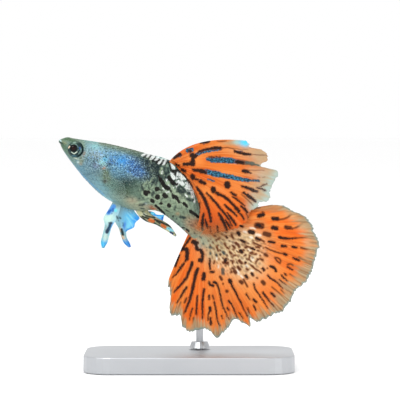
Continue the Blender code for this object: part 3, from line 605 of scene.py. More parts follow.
# Body markings, with a painted highlight on the upper lip, in photo pixels. A dab is x, y, half length, half breadth,
# turn, colour and strength.
BODY_DABS = [
    (94, 149, 20, 8, 12, "#86b2bc", 0.9), (96, 146, 4, 2.4, 10, "#9cdcdc", 0.6),
    (97, 155.5, 9, 4.5, 15, "#909f9f", 0.7), (92, 166, 14, 8, 40, "#547688", 0.85),
    (97, 165, 4, 3, 20, "#7c7496", 0.4), (92, 181, 36, 8, 47, "#608899", 0.9),
    (104, 190, 16, 7, 40, "#7ba8b2", 0.9),
    (118, 197, 10, 6, 25, "#7f9c90", 0.85), (106, 199, 14, 3.0, 28, "#93cbd6", 0.75),
    (120, 163, 17, 12, 25, "#6098bc", 0.9), (123, 160, 8, 4.5, 15, "#48a8ee", 0.85),
    (112.5, 162, 5, 4, 0, "#44607a", 0.75), (118, 155, 8, 3, 15, "#5f93b4", 0.6),
    (135, 164, 10, 9, 35, "#4472ac", 0.85), (140, 172, 9, 8, 30, "#3c64a0", 0.85),
    (144.6, 171.6, 4, 2.4, 20, "#4a96ea", 0.8), (120, 175, 12, 6, 25, "#58889e", 0.85),
    (115, 186, 12, 7, 35, "#50766a", 0.85), (129, 183, 13, 8, 12, "#1d3634", 0.94), (127, 191, 9, 6, 20, "#354e3e", 0.8),
    (140, 183, 7, 5, 30, "#4c6650", 0.6), (123, 192, 8, 5, 20, "#485a44", 0.6),
    (141, 158, 9, 5, 30, "#3a5560", 0.7), (149, 163, 10, 8, 35, "#1c3442", 0.92),
    (156, 170, 15, 10, 48, "#0f2024", 0.97), (151, 179, 7, 6, 0, "#263a35", 0.85),
    (141, 195, 12, 7, 30, "#577060", 0.9), (138, 205, 16, 6, 26, "#9da287", 0.85),
    (132, 200, 5, 3, 0, "#b09e84", 0.5), (148, 187, 7, 4, -40, "#6c8660", 0.6),
    (156, 197, 14, 10, 40, "#879c82", 0.9), (170, 207, 14, 11, 45, "#7e9277", 0.9),
    (180, 197, 14, 9, 50, "#94a488", 0.9), (186, 213, 12, 10, 45, "#7b8b72", 0.9),
    (177.5, 213.4, 2.2, 1.8, 0, "#a8845c", 0.6), (197, 226, 8, 8, 45, "#be6526", 0.95),
    (190, 222, 7, 6, 45, "#a88868", 0.7), (192, 231, 6, 4, 45, "#a09a78", 0.7),
    (203, 234, 8, 7, 45, "#b09a74", 0.95), (197, 239, 6, 5, 0, "#9aa68e", 0.9),
    (112, 146.8, 15, 2.6, 13, "#667c62", 0.85), (134, 153, 14, 3.0, 16, "#465e46", 0.85),
    (91, 141.2, 13, 1.0, 8.6, "#58a0a0", 0.75), (72, 139.5, 14, 3.2, 6, "#47653f", 0.9), (64, 142.6, 4, 1.6, 20, "#9a9c70", 0.7),
    (64, 147, 5, 4, 60, "#486546", 0.9), (79, 166.6, 8, 4.4, 50, "#5a8fa8", 0.6), (61.6, 143.0, 3.0, 1.5, 40, "#1d3a34", 0.95),
    (68, 153, 7, 3, 60, "#5b7b68", 0.9), (73, 160, 7, 3, 52, "#71908a", 0.9),
    (76, 149.5, 9.5, 9, 0, "#456353", 0.78), (84, 145, 2.2, 4, -20, "#8aa184", 0.6),
    (82, 160, 2.2, 5, 12, "#858e70", 0.8), (84.8, 153.6, 1.5, 3, 15, "#96806c", 0.7),
    (81, 163.6, 2, 1.4, 0, "#a08468", 0.4), (107, 174.5, 3.6, 8, -10, "#57663c", 0.95),
    (105.4, 181, 2.4, 2.2, 0, "#45433a", 0.85), (103, 162.6, 3.4, 2.8, 20, "#a4d8d2", 0.9),
    (106, 159, 2.6, 2.2, 0, "#62c6ea", 0.8), (104.2, 167.4, 2.4, 1.6, 0, "#b5764a", 0.95),
    (77.2, 158.4, 2.4, 0.9, 10, "#d2e0ca", 0.8), (78.6, 162, 1.4, 1.3, 0, "#c2d8d4", 0.8),
    # The pale cyan dab at x 60.8 on the next line is a painted highlight along the upper lip.
    (60.8, 140.4, 1.8, 0.7, 38, "#cfeef2", 0.9), (191.7, 225, 1.6, 1.4, 0, "#5a2c2c", 0.7),
    (139.6, 213, 4, 2.6, 20, "#a6a880", 0.8), (146, 203.6, 1.6, 1.4, 0, "#90a8b4", 0.6),
    (147, 206.6, 3, 2.6, 20, "#b2ac92", 0.85), (153.4, 207.7, 4.0, 2.2, 22, "#b85a24", 0.97), (155, 209.8, 2.6, 0.8, 30, "#e6a67c", 0.8),
]
BACK_LINE = [(0.9, 100, 143, 112, 145, 122, 147.4, 134, 150.4, 142, 152)]
THROAT_LINE = [(0.9, 64.4, 153, 69, 160, 78, 171, 86, 178.6, 96, 187.6, 104, 194.6)]
BACK_TEAL = [(0.5, 156, 156.4, 160, 157.6, 166, 158.4)]
# White scales along the ridge of the back, and the shining patch behind it
WHITE_MARKS = [
    (1.0, 142.6, 155.2, 145.2, 153.4), (1.5, 146.4, 155.6, 149, 155), (1.8, 151, 158, 153.4, 156.8),
    (1.5, 155.8, 159, 158, 158), (2.0, 159, 162, 161.4, 160), (1.9, 163.4, 163.2, 165.6, 161.2),
    (0.5, 160, 158.4, 166, 159.2), (0.7, 170.6, 162.6, 171.6, 164),
    (1.7, 171.8, 166.2, 173.8, 168), (1.5, 171.8, 173, 174.8, 178), (1.4, 171.6, 176, 173.4, 178.6),
    (2.3, 177.8, 173.2, 178.6, 174), (1.6, 175.4, 178, 181.4, 176.4), (2.2, 181.6, 177.4, 184.4, 179),
    (2.0, 178, 181.6, 182.4, 180.4), (2.0, 180.6, 183.4, 183.8, 183.6), (2.6, 185.8, 183.4, 188.8, 185.8),
    (2.7, 186.4, 187, 190.4, 190), (2.2, 189, 184.8, 191.6, 191.4), (1.7, 191.8, 193.4, 193.4, 197.4),
    (0.9, 166.5, 179.2, 166.9, 180.4), (0.6, 163, 187, 164.2, 189.4), (0.8, 166.6, 191.8, 168.8, 191.8),
    (0.6, 162.4, 171, 162, 173.4), (0.6, 173.4, 187.4), (0.9, 193.4, 199, 194.2, 201.6),
    (0.7, 176.6, 186.4, 177.4, 184.6), (0.7, 185.6, 194.4, 187.4, 196.2), (0.5, 168.6, 185, 170, 186.2),
]
FLANK_PALE = [
    (1.4, 161.6, 168.6), (0.9, 160.4, 171, 161.4, 173.6, 163, 172.6), (0.8, 164.6, 175.4),
    (2.0, 168, 182.9), (1.2, 171.8, 186.4, 173.4, 190, 175.6, 193.6), (0.8, 161.6, 183, 162.4, 187.4),
    (0.5, 147.6, 157, 151, 159.4), (0.6, 149, 183.4, 153, 177.6), (0.6, 142.6, 186.4, 147.4, 181),
    (0.5, 151.4, 188.4, 155.4, 183.6), (0.4, 136, 203.8, 141, 201.6, 145, 201), (0.7, 184, 199, 187, 202.4),
    (0.6, 160.6, 192, 160.8, 195), (0.6, 145.4, 197.6, 150.6, 195.6), (0.5, 156.6, 199.8, 159.4, 200.6),
]
FLANK_TEAL = [
    (2.4, 178.8, 189.8, 181.4, 191.8, 184.4, 190.8), (1.3, 178.6, 188, 180.2, 186, 182.6, 187.6, 184.8, 190.4),
    (1.9, 188.4, 192.8, 189.4, 193), (1.6, 187.6, 198.6, 190.2, 199.8, 192.2, 200.2),
    (1.4, 152.2, 194.6, 153.8, 191.6), (1.2, 180.6, 216.6, 185, 217.6), (1.0, 184.2, 181, 187, 180.4),
    (0.4, 175.2, 179.8, 177.4, 179.1, 180.2, 179), (0.4, 176, 176.2, 178.2, 177, 180.4, 176.2),
    (1.0, 139.4, 205, 144.6, 204.2), (1.2, 152, 184.6, 153.6, 181.4), (1.0, 156, 184.4, 157, 181.8),
    (0.9, 139.6, 198.2), (0.7, 132.8, 198.4), (0.9, 194.4, 233.4), (0.7, 141, 208, 143.8, 208.6),
    (0.8, 144.6, 211.4), (0.7, 163.6, 213.4, 168, 217.6, 173, 221, 178.4, 225), (0.7, 189.4, 221.6),
    (0.8, 176.6, 218.8), (0.6, 127, 196, 128.4, 197), (1.0, 165, 166.4, 164.4, 170.6),
    (1.0, 157, 165, 159, 169), (1.1, 166, 172.6, 165.4, 177), (0.9, 168.6, 168, 168.4, 173),
    (1.0, 156.4, 174, 158, 178), (1.2, 143.4, 189.6, 142.6, 186.6), (0.8, 143.6, 197.6), (0.8, 161.4, 189.8),
    (0.3, 178.4, 179.4, 180.4, 180, 184, 181.6), (0.3, 184.4, 182, 185.6, 184.6, 184.2, 186.8),
    (0.3, 187.6, 183, 189.4, 182.4), (0.3, 186.8, 189.4, 189.6, 190.4, 191.6, 189.8),
    (0.3, 190.2, 194.6, 193.4, 194.2), (0.3, 192, 198.6, 195, 198), (0.7, 175.4, 206, 174.6, 209.6), (0.6, 166, 209.4, 168.4, 211), (0.8, 163, 197.4, 161.6, 199.6),
]
FLANK_BLACK = [
    (0.8, 144.6, 157.4, 146.4, 155), (0.9, 148.6, 158.6, 151, 155.4), (0.9, 153, 160.6, 155.8, 157.2),
    (1.0, 156.4, 162.6, 159.8, 159), (1.0, 161, 164.4, 163.6, 160),
    (0.9, 165.4, 164.8, 167.4, 160.8, 169.6, 163.6, 170.2, 167, 170.8, 169.8, 172.6, 172), (1.2, 167.6, 160.6),
    (2.6, 145.6, 192.2, 146.4, 193), (1.4, 148.4, 191.4, 149.6, 192), (2.6, 157.2, 188.7), (0.9, 160.4, 189.4, 162, 189.8),
    (2.7, 157.8, 196.6), (2.4, 164.4, 194.6, 166, 195.8), (1.9, 152, 200.2, 153.2, 201), (1.8, 161.2, 203),
    (2.5, 169.2, 205.2), (2.1, 160.4, 178.8, 162.4, 182, 164.6, 185.4), (2.3, 166, 187, 168.4, 188),
    (2.1, 169.2, 176.8, 170.2, 178.6), (2.2, 172, 181, 173.6, 182.8), (1.1, 173.6, 184.6, 177.6, 183.8),
    (0.8, 170.8, 190.2, 171.8, 192.4), (1.6, 172.8, 195.2, 173.4, 197), (2.1, 175.2, 196.2, 176.6, 197.8),
    (1.4, 177.8, 199.8, 179.2, 201.6), (0.8, 181.6, 202.2), (1.7, 184.4, 203.4, 186.2, 205.2), (0.9, 187.4, 206.6),
    (1.7, 190.4, 210.8, 193, 212.8, 196, 214.6), (1.4, 197, 215.4, 198, 217),
    (1.3, 155.8, 205.2, 158, 207.2, 161.4, 210.4, 164, 213.4), (1.0, 173.2, 216), (0.9, 182, 227.4, 184, 227.6),
    (1.0, 186.4, 229, 188.6, 231), (1.2, 172.4, 170.6, 176, 170.2, 175.4, 174.4), (1.3, 174, 171.4),
    (1.0, 177.2, 169.6, 180, 172.2), (1.2, 190.6, 237.6, 189, 239.6), (0.8, 158.6, 175.6, 159.4, 177.4),
]


def body_paint(points):
    """Pigment of the skin and its scales, and the numbers that its material reads.

    Each is worked out from where the point is seen from the side. Glint, azure and silver say how
    strong and how blue the specks are and how metallic the skin is. White and black are the gaps to
    such marks, in pixels.
    """
    x, y = waver(*photo_place(points), 0.8, 11)
    colour = dabs(np.broadcast_to(linear("#7a9486"), points.shape).copy(), x, y, BODY_DABS)
    net = mottle(x + y, (x - y) * 0.8, 1.3, 3) * 0.6 + mottle(x, y, 2.2, 4) * 0.4
    worn = ease(136, 150, x) * (1 - 0.75 * ease(190, 204, y))
    dark = wash(x, y, (155, 169, 18, 10, 48))
    colour = tint(colour, "#182a26", 0.85 * worn * ease(0.49, 0.66, net))
    colour = tint(colour, "#aebf9f", 0.42 * worn * (1 - 0.5 * dark) * ease(0.44, 0.28, net))
    colour = tint(colour, "#46582e", 0.85 * inside(mark_gap(x, y, BACK_LINE), 1.0))
    colour = tint(colour, "#58a8a4", 0.8 * inside(mark_gap(x, y, BACK_TEAL), 0.6))
    colour = tint(colour, "#5fa0cc", 0.7 * inside(mark_gap(x, y, THROAT_LINE), 0.9))
    colour = tint(colour, "#a9bd9c", 0.75 * inside(mark_gap(x, y, FLANK_PALE), 0.6))
    white = mark_gap(x, y, WHITE_MARKS)
    black = mark_gap(x, y, FLANK_BLACK)
    halo = inside(black - 1.1, 1.1) * ease(185, 192, y) * (1 - ease(206, 212, y))
    colour = tint(colour, "#a9bb9c", 0.55 * halo)
    teal = inside(mark_gap(x, y, FLANK_TEAL), 0.8)
    colour = tint(colour, "#122527", 0.93 * teal)
    colour = tint(colour, "#b0683a", 0.8 * inside(mark_gap(x, y, [(0.6, 185.6, 230.6, 190.4, 236.4)]), 0.6))
    blue = wash(x, y, (128, 165, 26, 13, 25))
    cheek = wash(x, y, (96, 158, 20, 15, 25))
    glint = 0.95 * blue + 0.65 * cheek + 0.12 - 0.1 * dark
    return colour, {
        "glint": np.clip(glint, 0, 1),
        "azure": np.clip(1.1 * blue + 0.75 * cheek, 0, 1),
        "silver": np.clip(0.15 * wash(x, y, (104, 186, 34, 9, 40)) + 0.2 * blue, 0, 0.6),
        "white": np.clip(np.maximum(white, 0.8 * (teal > 0.5)), -3, 3),
        "black": np.clip(black, -3, 3),
    }


def make_skin(material):
    """Body surface: an ellipse-like section swept along the bent spine, plus flesh and eye seats."""
    rings, columns = 380, 216
    angle = np.linspace(0, 2 * math.pi, columns, endpoint=False)[None, :]
    station = (np.linspace(0, 1, rings) ** 1.12 * SPINE_LENGTH)[:, None]
    surface = seat_eyes(body_surface(station, angle, flesh(station, angle)))
    front = surface[0].mean(axis=0) - np.array([0.04, 0.0, 0.0])
    rear = surface[-1].mean(axis=0)
    points, faces = lofted(surface, front, rear)
    colour, values = body_paint(points)
    add_piece(
        "skin", (points, faces), material, ("head", "torso", "tail_stem"),
        opaque(colour), values,
    )


def scale_roots():
    """Places of the scales in offset rows behind the gill cover, as station and angle."""
    rng = np.random.default_rng(5)
    rows = np.arange(6.2, 29.9, SCALE_PITCH)
    roots = []
    for i, row in enumerate(rows):
        for j in range(SCALE_ROUND):
            angle = (j + 0.5 * (i % 2)) * 2 * math.pi / SCALE_ROUND
            station = row + rng.uniform(-0.03, 0.03)
            if station > gill_edge(angle) + 0.12:
                roots.append((station, angle + rng.uniform(-0.008, 0.008)))
    return np.array(roots)


def make_scales(material):
    """Scales: each a small plate with a round rear edge that stands a little off the next one.

    A plate is a grid of u from its root to its rear edge and v across it. Its station is u times its
    length, less towards the sides, and its lift grows with u and falls off towards the sides.
    """
    across, along = 7, 7
    roots = scale_roots()
    v, u = np.meshgrid(np.linspace(-1, 1, across), np.linspace(0, 1, along), indexing="ij")
    reach = SCALE_PITCH * SCALE_OVERLAP
    half_angle = 1.04 * math.pi / SCALE_ROUND
    station = roots[:, 0, None, None] + reach * u * (1 - 0.40 * np.abs(v) ** 2.4) - 0.3 * SCALE_PITCH
    station = np.minimum(station, SPINE_LENGTH - 0.2)
    angle = roots[:, 1, None, None] + half_angle * v * (1 - 0.12 * u**3)
    lift = SCALE_LIFT * u * (1 - 0.55 * v**2) + 0.012
    top = body_surface(station, angle, flesh(station, angle) + lift)
    under = body_surface(station, angle, flesh(station, angle) + lift - 0.03)
    count, size = len(roots), across * along
    rim = rim_of(across, along)
    points = np.concatenate([top.reshape(count, size, 3), under.reshape(count, size, 3)[:, rim]], axis=1)
    quads = grid_quads(across, along)
    after = np.roll(np.arange(len(rim)), -1)
    skirt = np.stack([rim[after], rim, size + np.arange(len(rim)), size + after], axis=-1)
    plate = [*quads.tolist(), *skirt.tolist(), (size + np.arange(len(rim))).tolist()]
    each = size + len(rim)
    faces = [[k + n * each for k in face] for n in range(count) for face in plate]
    flat = points.reshape(-1, 3)
    colour, values = body_paint(flat)
    edge = np.maximum(u**4, np.abs(v) ** 5).ravel()
    edge = np.tile(np.concatenate([edge, edge[rim]]), count)
    x, y = photo_place(flat)
    net = 0.08 + 0.4 * wash(x, y, (152, 182, 24, 16, 40)) + 0.15 * wash(x, y, (185, 212, 18, 12, 50))
    colour = tint(colour, "#22342e", net * edge)
    piece = add_piece(
        "scales", (flat, faces), material, (), opaque(colour), values
    )
    spread = np.stack([u, v / 2 + 0.5], axis=-1).reshape(-1, 2)
    spread = np.concatenate([spread, spread[rim]])
    place = np.stack([roots[:, 0] / SPINE_LENGTH, (roots[:, 1] / (2 * math.pi)) % 1.0], axis=-1)
    uv = place[:, None, :] * 0.99 + 0.003 * spread[None]
    layer = piece.data.uv_layers.new(name="OFBake")
    corner = np.zeros(len(piece.data.loops), np.int32)
    piece.data.loops.foreach_get("vertex_index", corner)
    layer.data.foreach_set("uv", uv.reshape(-1, 2)[corner].astype(np.float32).ravel())


# Eyes


EYE_PROFILE = [
    (0.0, -0.90), (0.5, -0.86), (1.0, -0.66), (1.32, -0.35), (1.45, 0.0), (1.43, 0.16),
    (1.34, 0.33), (1.18, 0.50), (1.00, 0.62), (0.96, 0.66), (0.90, 0.68), (0.80, 0.66),
    (0.72, 0.64), (0.68, 0.68), (0.55, 0.78), (0.38, 0.86), (0.2, 0.90), (0.0, 0.915),
]
PUPIL = (74.3, 148.2, 3.6)
IRIS_MARKS_AND_PAINTED_GLINTS = (
    ("#dcebd6", 1.0, [(0.35, 72.2, 151.8, 74.8, 153.7), (0.35, 74.8, 153.7, 77.8, 151.6)]),
    # Painted highlight: a peach fleck on the upper left of the eye.
    ("#f0d8bc", 0.95, [(0.7, 69.2, 147.6, 70.2, 146.4)]),
    ("#8aa898", 0.8, [(0.4, 72.6, 144.4, 75, 143.8, 77.2, 144.8), (0.8, 74, 142.6, 76, 142.4)]),
    ("#6f8f94", 0.7, [(0.4, 77.6, 145, 78.9, 147.4), (0.3, 78.6, 150.6, 79.2, 149.4)]),
    # Painted glint: a blue fleck on the right of the iris.
    ("#3f6698", 0.9, [(0.8, 80.4, 147.6, 80.7, 149)]),
    ("#4d7484", 0.7, [(0.6, 73.4, 155.8, 76.4, 156)]),
)


def eye_paint(points):
    """Dark teal iris with a broken pale ring round a pupil that sits forward of its middle, with a painted peach
    highlight and a painted blue glint.
    """
    x, y = waver(*photo_place(points), 0.5, 61)
    from_pupil = np.hypot(x - PUPIL[0], y - PUPIL[1]) - PUPIL[2]
    colour = np.broadcast_to(linear("#1c3234"), points.shape).copy()
    colour = dabs(colour, x, y, [(74.6, 142.4, 4, 1.6, 0, "#5c7f6a", 0.8), (74.5, 156, 4, 1.4, 0, "#3e6268", 0.7)])
    colour = tint(colour, "#2f4a4a", 0.7 * bell(from_pupil - 0.9, 0.8))
    for code, strength, places in IRIS_MARKS_AND_PAINTED_GLINTS:
        colour = tint(colour, code, strength * inside(mark_gap(x, y, places), 0.45))
    colour = tint(colour, "#050404", inside(from_pupil, 0.35))
    return tint(colour, "#2a0f0d", 0.8 * inside(from_pupil + 2.0, 1.2))


def make_eye(side, word, material):
    """Eyeball: a profile turned about the axis that points out of the head, with a shifted pupil."""
    steps, around = 72, 128
    t = np.linspace(0, 1, steps)
    knots = np.linspace(0, 1, len(EYE_PROFILE))
    radius = smooth([(k, p[0]) for k, p in zip(knots, EYE_PROFILE)], t)[1:-1]
    out = smooth([(k, p[1]) for k, p in zip(knots, EYE_PROFILE)], t)[1:-1]
    turn = np.linspace(0, 2 * math.pi, around, endpoint=False)
    centre = eye_centre(side)
    shift = (1 - ease(0.9, 1.45, radius)) * (out > 0)
    x = radius[:, None] * np.cos(turn) + PUPIL_SHIFT[0] * shift[:, None]
    z = radius[:, None] * np.sin(turn) + PUPIL_SHIFT[1] * shift[:, None]
    y = np.broadcast_to(side * out[:, None], x.shape)
    rings = centre + np.stack([x, y, z], axis=-1)
    back = centre + np.array([0.0, side * EYE_PROFILE[0][1], 0.0])
    front = centre + np.array([PUPIL_SHIFT[0], side * EYE_PROFILE[-1][1], PUPIL_SHIFT[1]])
    points, faces = lofted(rings, back, front)
    add_piece(
        "eyeball_" + word, (points, faces), material, ("eye_" + word,),
        opaque(eye_paint(points)),
    )


# Fins


def bezier(start, handle, end, along):
    """Quadratic curves from start to end, one for each column, at the rows in along."""
    t = along[None, :, None]
    return (
        start[:, None, :] * (1 - t) ** 2
        + handle[:, None, :] * 2 * t * (1 - t)
        + end[:, None, :] * t**2
    )


def fray(across, count, depth, seed):
    """Ragged fin edge: each of count ray tips reaches out by its own random share of depth."""
    tips = np.random.default_rng(seed).random(count + 1)
    place = across * count
    i = np.minimum(place.astype(int), count - 1)
    t = place - i
    between = tips[i] * (1 - t) + tips[i + 1] * t
    return depth * (between - 0.25 - 0.5 * (1 - np.abs(2 * t - 1)) * (tips[i] > 0.45))


def ray_ridges(across, along, rays, first_fork, second_fork):
    """Rays as ridges from 0 to 1: one at the root, two past the first fork, four past the second."""
    def ridges(count):
        return bell(((across[:, None] * count) % 1.0) - 0.5, 0.22)

    one = ease(first_fork - 0.12, first_fork + 0.12, along)[None, :]
    two = ease(second_fork - 0.12, second_fork + 0.12, along)[None, :]
    return ridges(rays) * (1 - one) + ridges(2 * rays) * one * (1 - two) + ridges(4 * rays) * one * two


# Gap given to points of a fin that has no such marks, in pixels
FAR = 3.0


def add_fin(name, surface, ridges, membrane, ridge, paint, material, nodes, rays, black=None, blue=None):
    """Adds a fin as a closed sheet: membrane thickness with the rays' ridges on both faces.

    Black and blue are the gaps to such marks in pixels, and rays counts the folds across the fin.
    """
    thin = np.ones(surface.shape[:2])
    thin[:, -1] = 0.4
    shape = sheet(surface, membrane * thin + 2 * ridge * ridges)
    colours = np.concatenate([paint.reshape(-1, 4), paint.reshape(-1, 4)])
    values = {"rays": np.tile(np.broadcast_to(rays, surface.shape[:2]).ravel(), 2)}
    for word, gap in (("black", black), ("blue", blue)):
        gap = np.full(surface.shape[:2], FAR) if gap is None else np.clip(gap, -FAR, FAR)
        values[word] = np.tile(gap.ravel(), 2)
    return add_piece(name, shape, material, nodes, colours, values)


TAIL_CENTRE = (26.2, -15.5)
TAIL_TOP_ANGLE = 17.0
TAIL_LOW_ANGLE = -123.0
TAIL_RAYS = 27
TAIL_REACH = [
    (-123.0, 11.2), (-121.0, 12.3), (-118.0, 12.95), (-114.3, 14.3), (-111.5, 16.6), (-106.5, 17.1),
    (-104.3, 16.9), (-101.8, 18.5), (-99.2, 19.15), (-92.7, 18.9), (-89.0, 18.7), (-85.5, 19.3),
    (-83.0, 20.5), (-79.3, 19.8), (-74.5, 18.6), (-72.0, 18.1), (-67.3, 19.1), (-64.6, 20.2),
    (-62.6, 18.9), (-61.0, 19.7), (-56.8, 20.3), (-52.0, 20.4), (-47.2, 21.0), (-41.7, 21.0),
    (-34.0, 20.6), (-28.8, 21.3), (-22.0, 21.4), (-12.0, 21.2), (-7.7, 21.3), (-4.0, 20.3),
    (2.1, 19.5), (5.0, 18.6), (7.0, 17.9), (9.0, 16.6), (13.2, 15.5), (17.0, 13.0),
]
TAIL_TOP_HANDLE = (33.0, -12.6)
TAIL_LOW_HANDLE = (22.0, -20.2)
TAIL_HANDLE_SHARE = 0.22
TAIL_WAVES = 3.5
TAIL_WAVE_START = 0.6
TAIL_WAVE_HEIGHT = 0.75
TAIL_CUP = 5.12

FAN_PIXEL = (203.0, 226.0)
# Width in pixels of the clear margin at each bearing from the fan's centre
TAIL_MARGIN = [
    (-125, 3), (-108, 10), (-95, 11), (-82, 10), (-66, 7), (-55, 11), (-42, 16), (-30, 15), (-14, 13),
    (2, 14), (10, 11), (18, 6),
]
TAIL_DABS = [
    (240, 262, 50, 38, 42, "#f09a50", 0.7), (232, 250, 27, 20, 35, "#e9cb9e", 1.0),
    (247, 262, 18, 16, 40, "#e2c496", 0.95), (249, 239, 15, 10, 10, "#e6c99a", 0.9),
    (216, 243, 15, 10, 30, "#bcab80", 0.9), (203, 240, 10, 7, 45, "#a5b096", 0.95),
    (198, 246, 5, 3, 45, "#9fc0b4", 0.6), (213, 255, 8, 8, 0, "#c8b58c", 0.8),
    (215, 233, 16, 4, 10, "#c08852", 0.8), (205, 231, 12, 3.5, 15, "#b9683a", 0.8),
    (294, 216, 9, 5, 15, "#dcae7a", 0.7), (306, 226, 6, 8, 70, "#d8b088", 0.65), (309, 243, 5, 4, 0, "#d2b088", 0.6),
    (309, 256, 5, 6, 0, "#c6a680", 0.6), (272, 209, 18, 3.4, 0, "#ae8c62", 0.75), (259, 225, 7, 4.4, 5, "#b98a58", 0.8),
    (268, 234, 6, 4, 8, "#c08a54", 0.6), (302, 280, 6, 14, 35, "#b48c5e", 0.6), (284, 303, 10, 6, -45, "#b89468", 0.55),
]
TAIL_WHITE = [
    (1.0, 244, 231.6, 246.4, 232.2), (1.2, 256, 234.8, 260.4, 235.2), (1.1, 250.4, 237.2, 252, 237.6),
    (0.8, 250.4, 227.8, 255, 228.4), (1.2, 251.8, 258, 252.8, 259.8), (1.0, 245.8, 265.6, 247.4, 266.4),
    (1.2, 237.6, 270.4, 238.8, 274), (0.8, 216.8, 257.4, 217, 259.4), (0.7, 248.6, 249.6, 250.4, 250.6),
    (0.8, 251, 270, 253, 271), (0.8, 240.6, 275.6, 242.6, 277.6), (0.6, 218.6, 265.6, 218.4, 267.6),
]
TAIL_BLACK_SPOTS = [
    (1.1, 190.2, 237.6, 187, 242.4, 184, 246.6), (1.9, 183.4, 248, 181.6, 249.6),
    (2.0, 184, 249.2, 186.6, 249.4, 187.3, 252, 187, 256.4, 187, 259), (1.2, 186, 259.6, 185.6, 261),
    (1.3, 178.8, 255.6, 177, 260, 174.8, 266), (2.4, 193.6, 242.2, 196, 243.2), (1.5, 196.4, 244, 196.2, 248),
    (1.6, 196.8, 249, 201, 250.4, 202.6, 254.4, 202.2, 258), (2.1, 199.8, 260.2, 201.6, 260),
    (1.0, 201.6, 262.4), (1.9, 204.1, 273.8, 203.3, 279.2), (0.9, 197.3, 296, 197, 303, 196.3, 314),
    (1.1, 209.8, 258.8, 209.7, 264, 210.1, 269), (1.3, 210.8, 272, 213.6, 272), (1.5, 225.6, 259.6, 225.3, 261.4),
    (1.3, 209, 282.4, 210.2, 285, 212.8, 286), (1.5, 214.2, 282.6, 216.2, 283.2), (1.0, 208.9, 295.8, 209, 299.2),
    (1.4, 209.7, 307.8, 210, 310.6), (1.0, 210.4, 318, 211, 324.6), (2.0, 230, 280.6, 230.6, 282),
    (1.2, 229, 301.6, 231, 304), (0.7, 227.2, 308.2, 228.8, 310.5), (1.3, 240.6, 225.4, 242.4, 226.6),
    (2.2, 250, 231.7, 252.8, 232.3), (1.9, 257.6, 225, 260, 226), (1.0, 262.4, 227.4), (0.8, 262.6, 224.4),
    (1.9, 272.8, 227.6, 276.6, 228.4), (0.7, 285.4, 226.4, 287, 228.6), (0.5, 287, 229, 292, 229), (1.3, 282, 245.8, 286, 246.2),
    (1.2, 292.4, 246.5, 296.6, 247.6), (2.0, 259, 216, 263.2, 214.8), (1.9, 273, 218.6, 277.4, 219),
    (1.1, 293.6, 258.2, 299.2, 260.4), (1.2, 284.4, 253.8, 286.6, 255), (1.7, 238, 232.6, 239.2, 234.2),
    (1.5, 241.8, 240.4, 244.6, 242), (1.5, 256.4, 238.2, 259.6, 239.4), (1.3, 269, 241.5, 274.2, 242.4),
    (1.8, 240.6, 251, 241.8, 252), (1.3, 251.4, 248, 254, 249.4), (1.2, 245.4, 262.6), (1.1, 244.8, 255.8),
    (1.3, 270.6, 266.6, 273.4, 267.4, 275, 269, 276, 271.2), (1.2, 262.8, 268.6, 264.2, 270.2),
    (1.3, 252, 273.6, 252.8, 275.4), (1.4, 245.8, 275.6, 247.2, 277.8), (1.2, 271.4, 293, 274.4, 296),
    (1.2, 253.6, 299.4, 256.2, 302), (0.9, 253.8, 305.4, 255.8, 310), (0.8, 284.8, 273.8, 286.6, 275.4),
    (0.9, 287.8, 267.2, 292.6, 270.2), (1.0, 226, 236.4, 227.2, 238),
]
TAIL_STREAKS = [
    (1.3, 183.8, 263.8, 181, 267.5, 179, 271, 176, 274.6, 172.5, 277.8),
    (1.7, 192.3, 262.8, 191, 267.5, 188.3, 273, 187, 277.5, 182.5, 283.5, 179, 287, 174, 292.8),
    (1.8, 197.8, 268.8, 196.3, 272.5, 194.8, 279, 193.2, 287, 191.8, 293, 190, 299.5, 188, 305.5, 185.6, 312),
    (1.3, 186.6, 287.4, 183.5, 292.5, 180.5, 298, 176.5, 303.5),
    (1.4, 204, 289.4, 203, 297, 202.3, 304, 202.5, 311, 202.3, 318.5),
    (0.8, 192.6, 308.4, 190.8, 314, 189.7, 320.5),
    (1.1, 216.3, 283.5, 218.8, 288.5, 220.3, 295, 221.5, 301.5, 223.3, 308.5, 226, 313.5, 229, 319.5),
    (1.0, 214.3, 302.5, 215.6, 308.5, 216.5, 315, 217.3, 320.5, 219.8, 326),
    (0.9, 209.4, 311, 208.4, 314.5, 207.9, 320.5),
    (1.3, 230.6, 281.6, 232.6, 287, 235.5, 291.5, 238, 297.5, 241, 303, 243.5, 309, 247.8, 316.8),
    (1.0, 231, 303.6, 233.8, 309, 235.5, 314, 237.8, 319.8), (0.7, 226.5, 315.5, 229, 320),
    (0.8, 239.6, 313.2, 243.5, 318.8), (1.0, 246.4, 294, 248.4, 297, 250, 299.8), (0.7, 248, 308, 249.6, 314),
    (0.7, 221.4, 316, 222.4, 319), (1.1, 281.6, 275.6, 284, 278.4, 287.6, 281.2),
    (0.6, 279.4, 279.6, 282, 282, 286, 284.8),
    (1.1, 268, 275.6, 270.6, 278.6, 275, 281, 278.4, 284, 282.8, 288.4),
    (1.0, 253.8, 283.8, 255, 289, 259.5, 295, 263, 300.5, 267.8, 308),
    (1.1, 263, 292.4, 266, 296.6, 269.6, 301.2, 274, 306),
    (1.5, 279.4, 237.2, 283, 238.2, 289, 238.6, 296, 238),
]
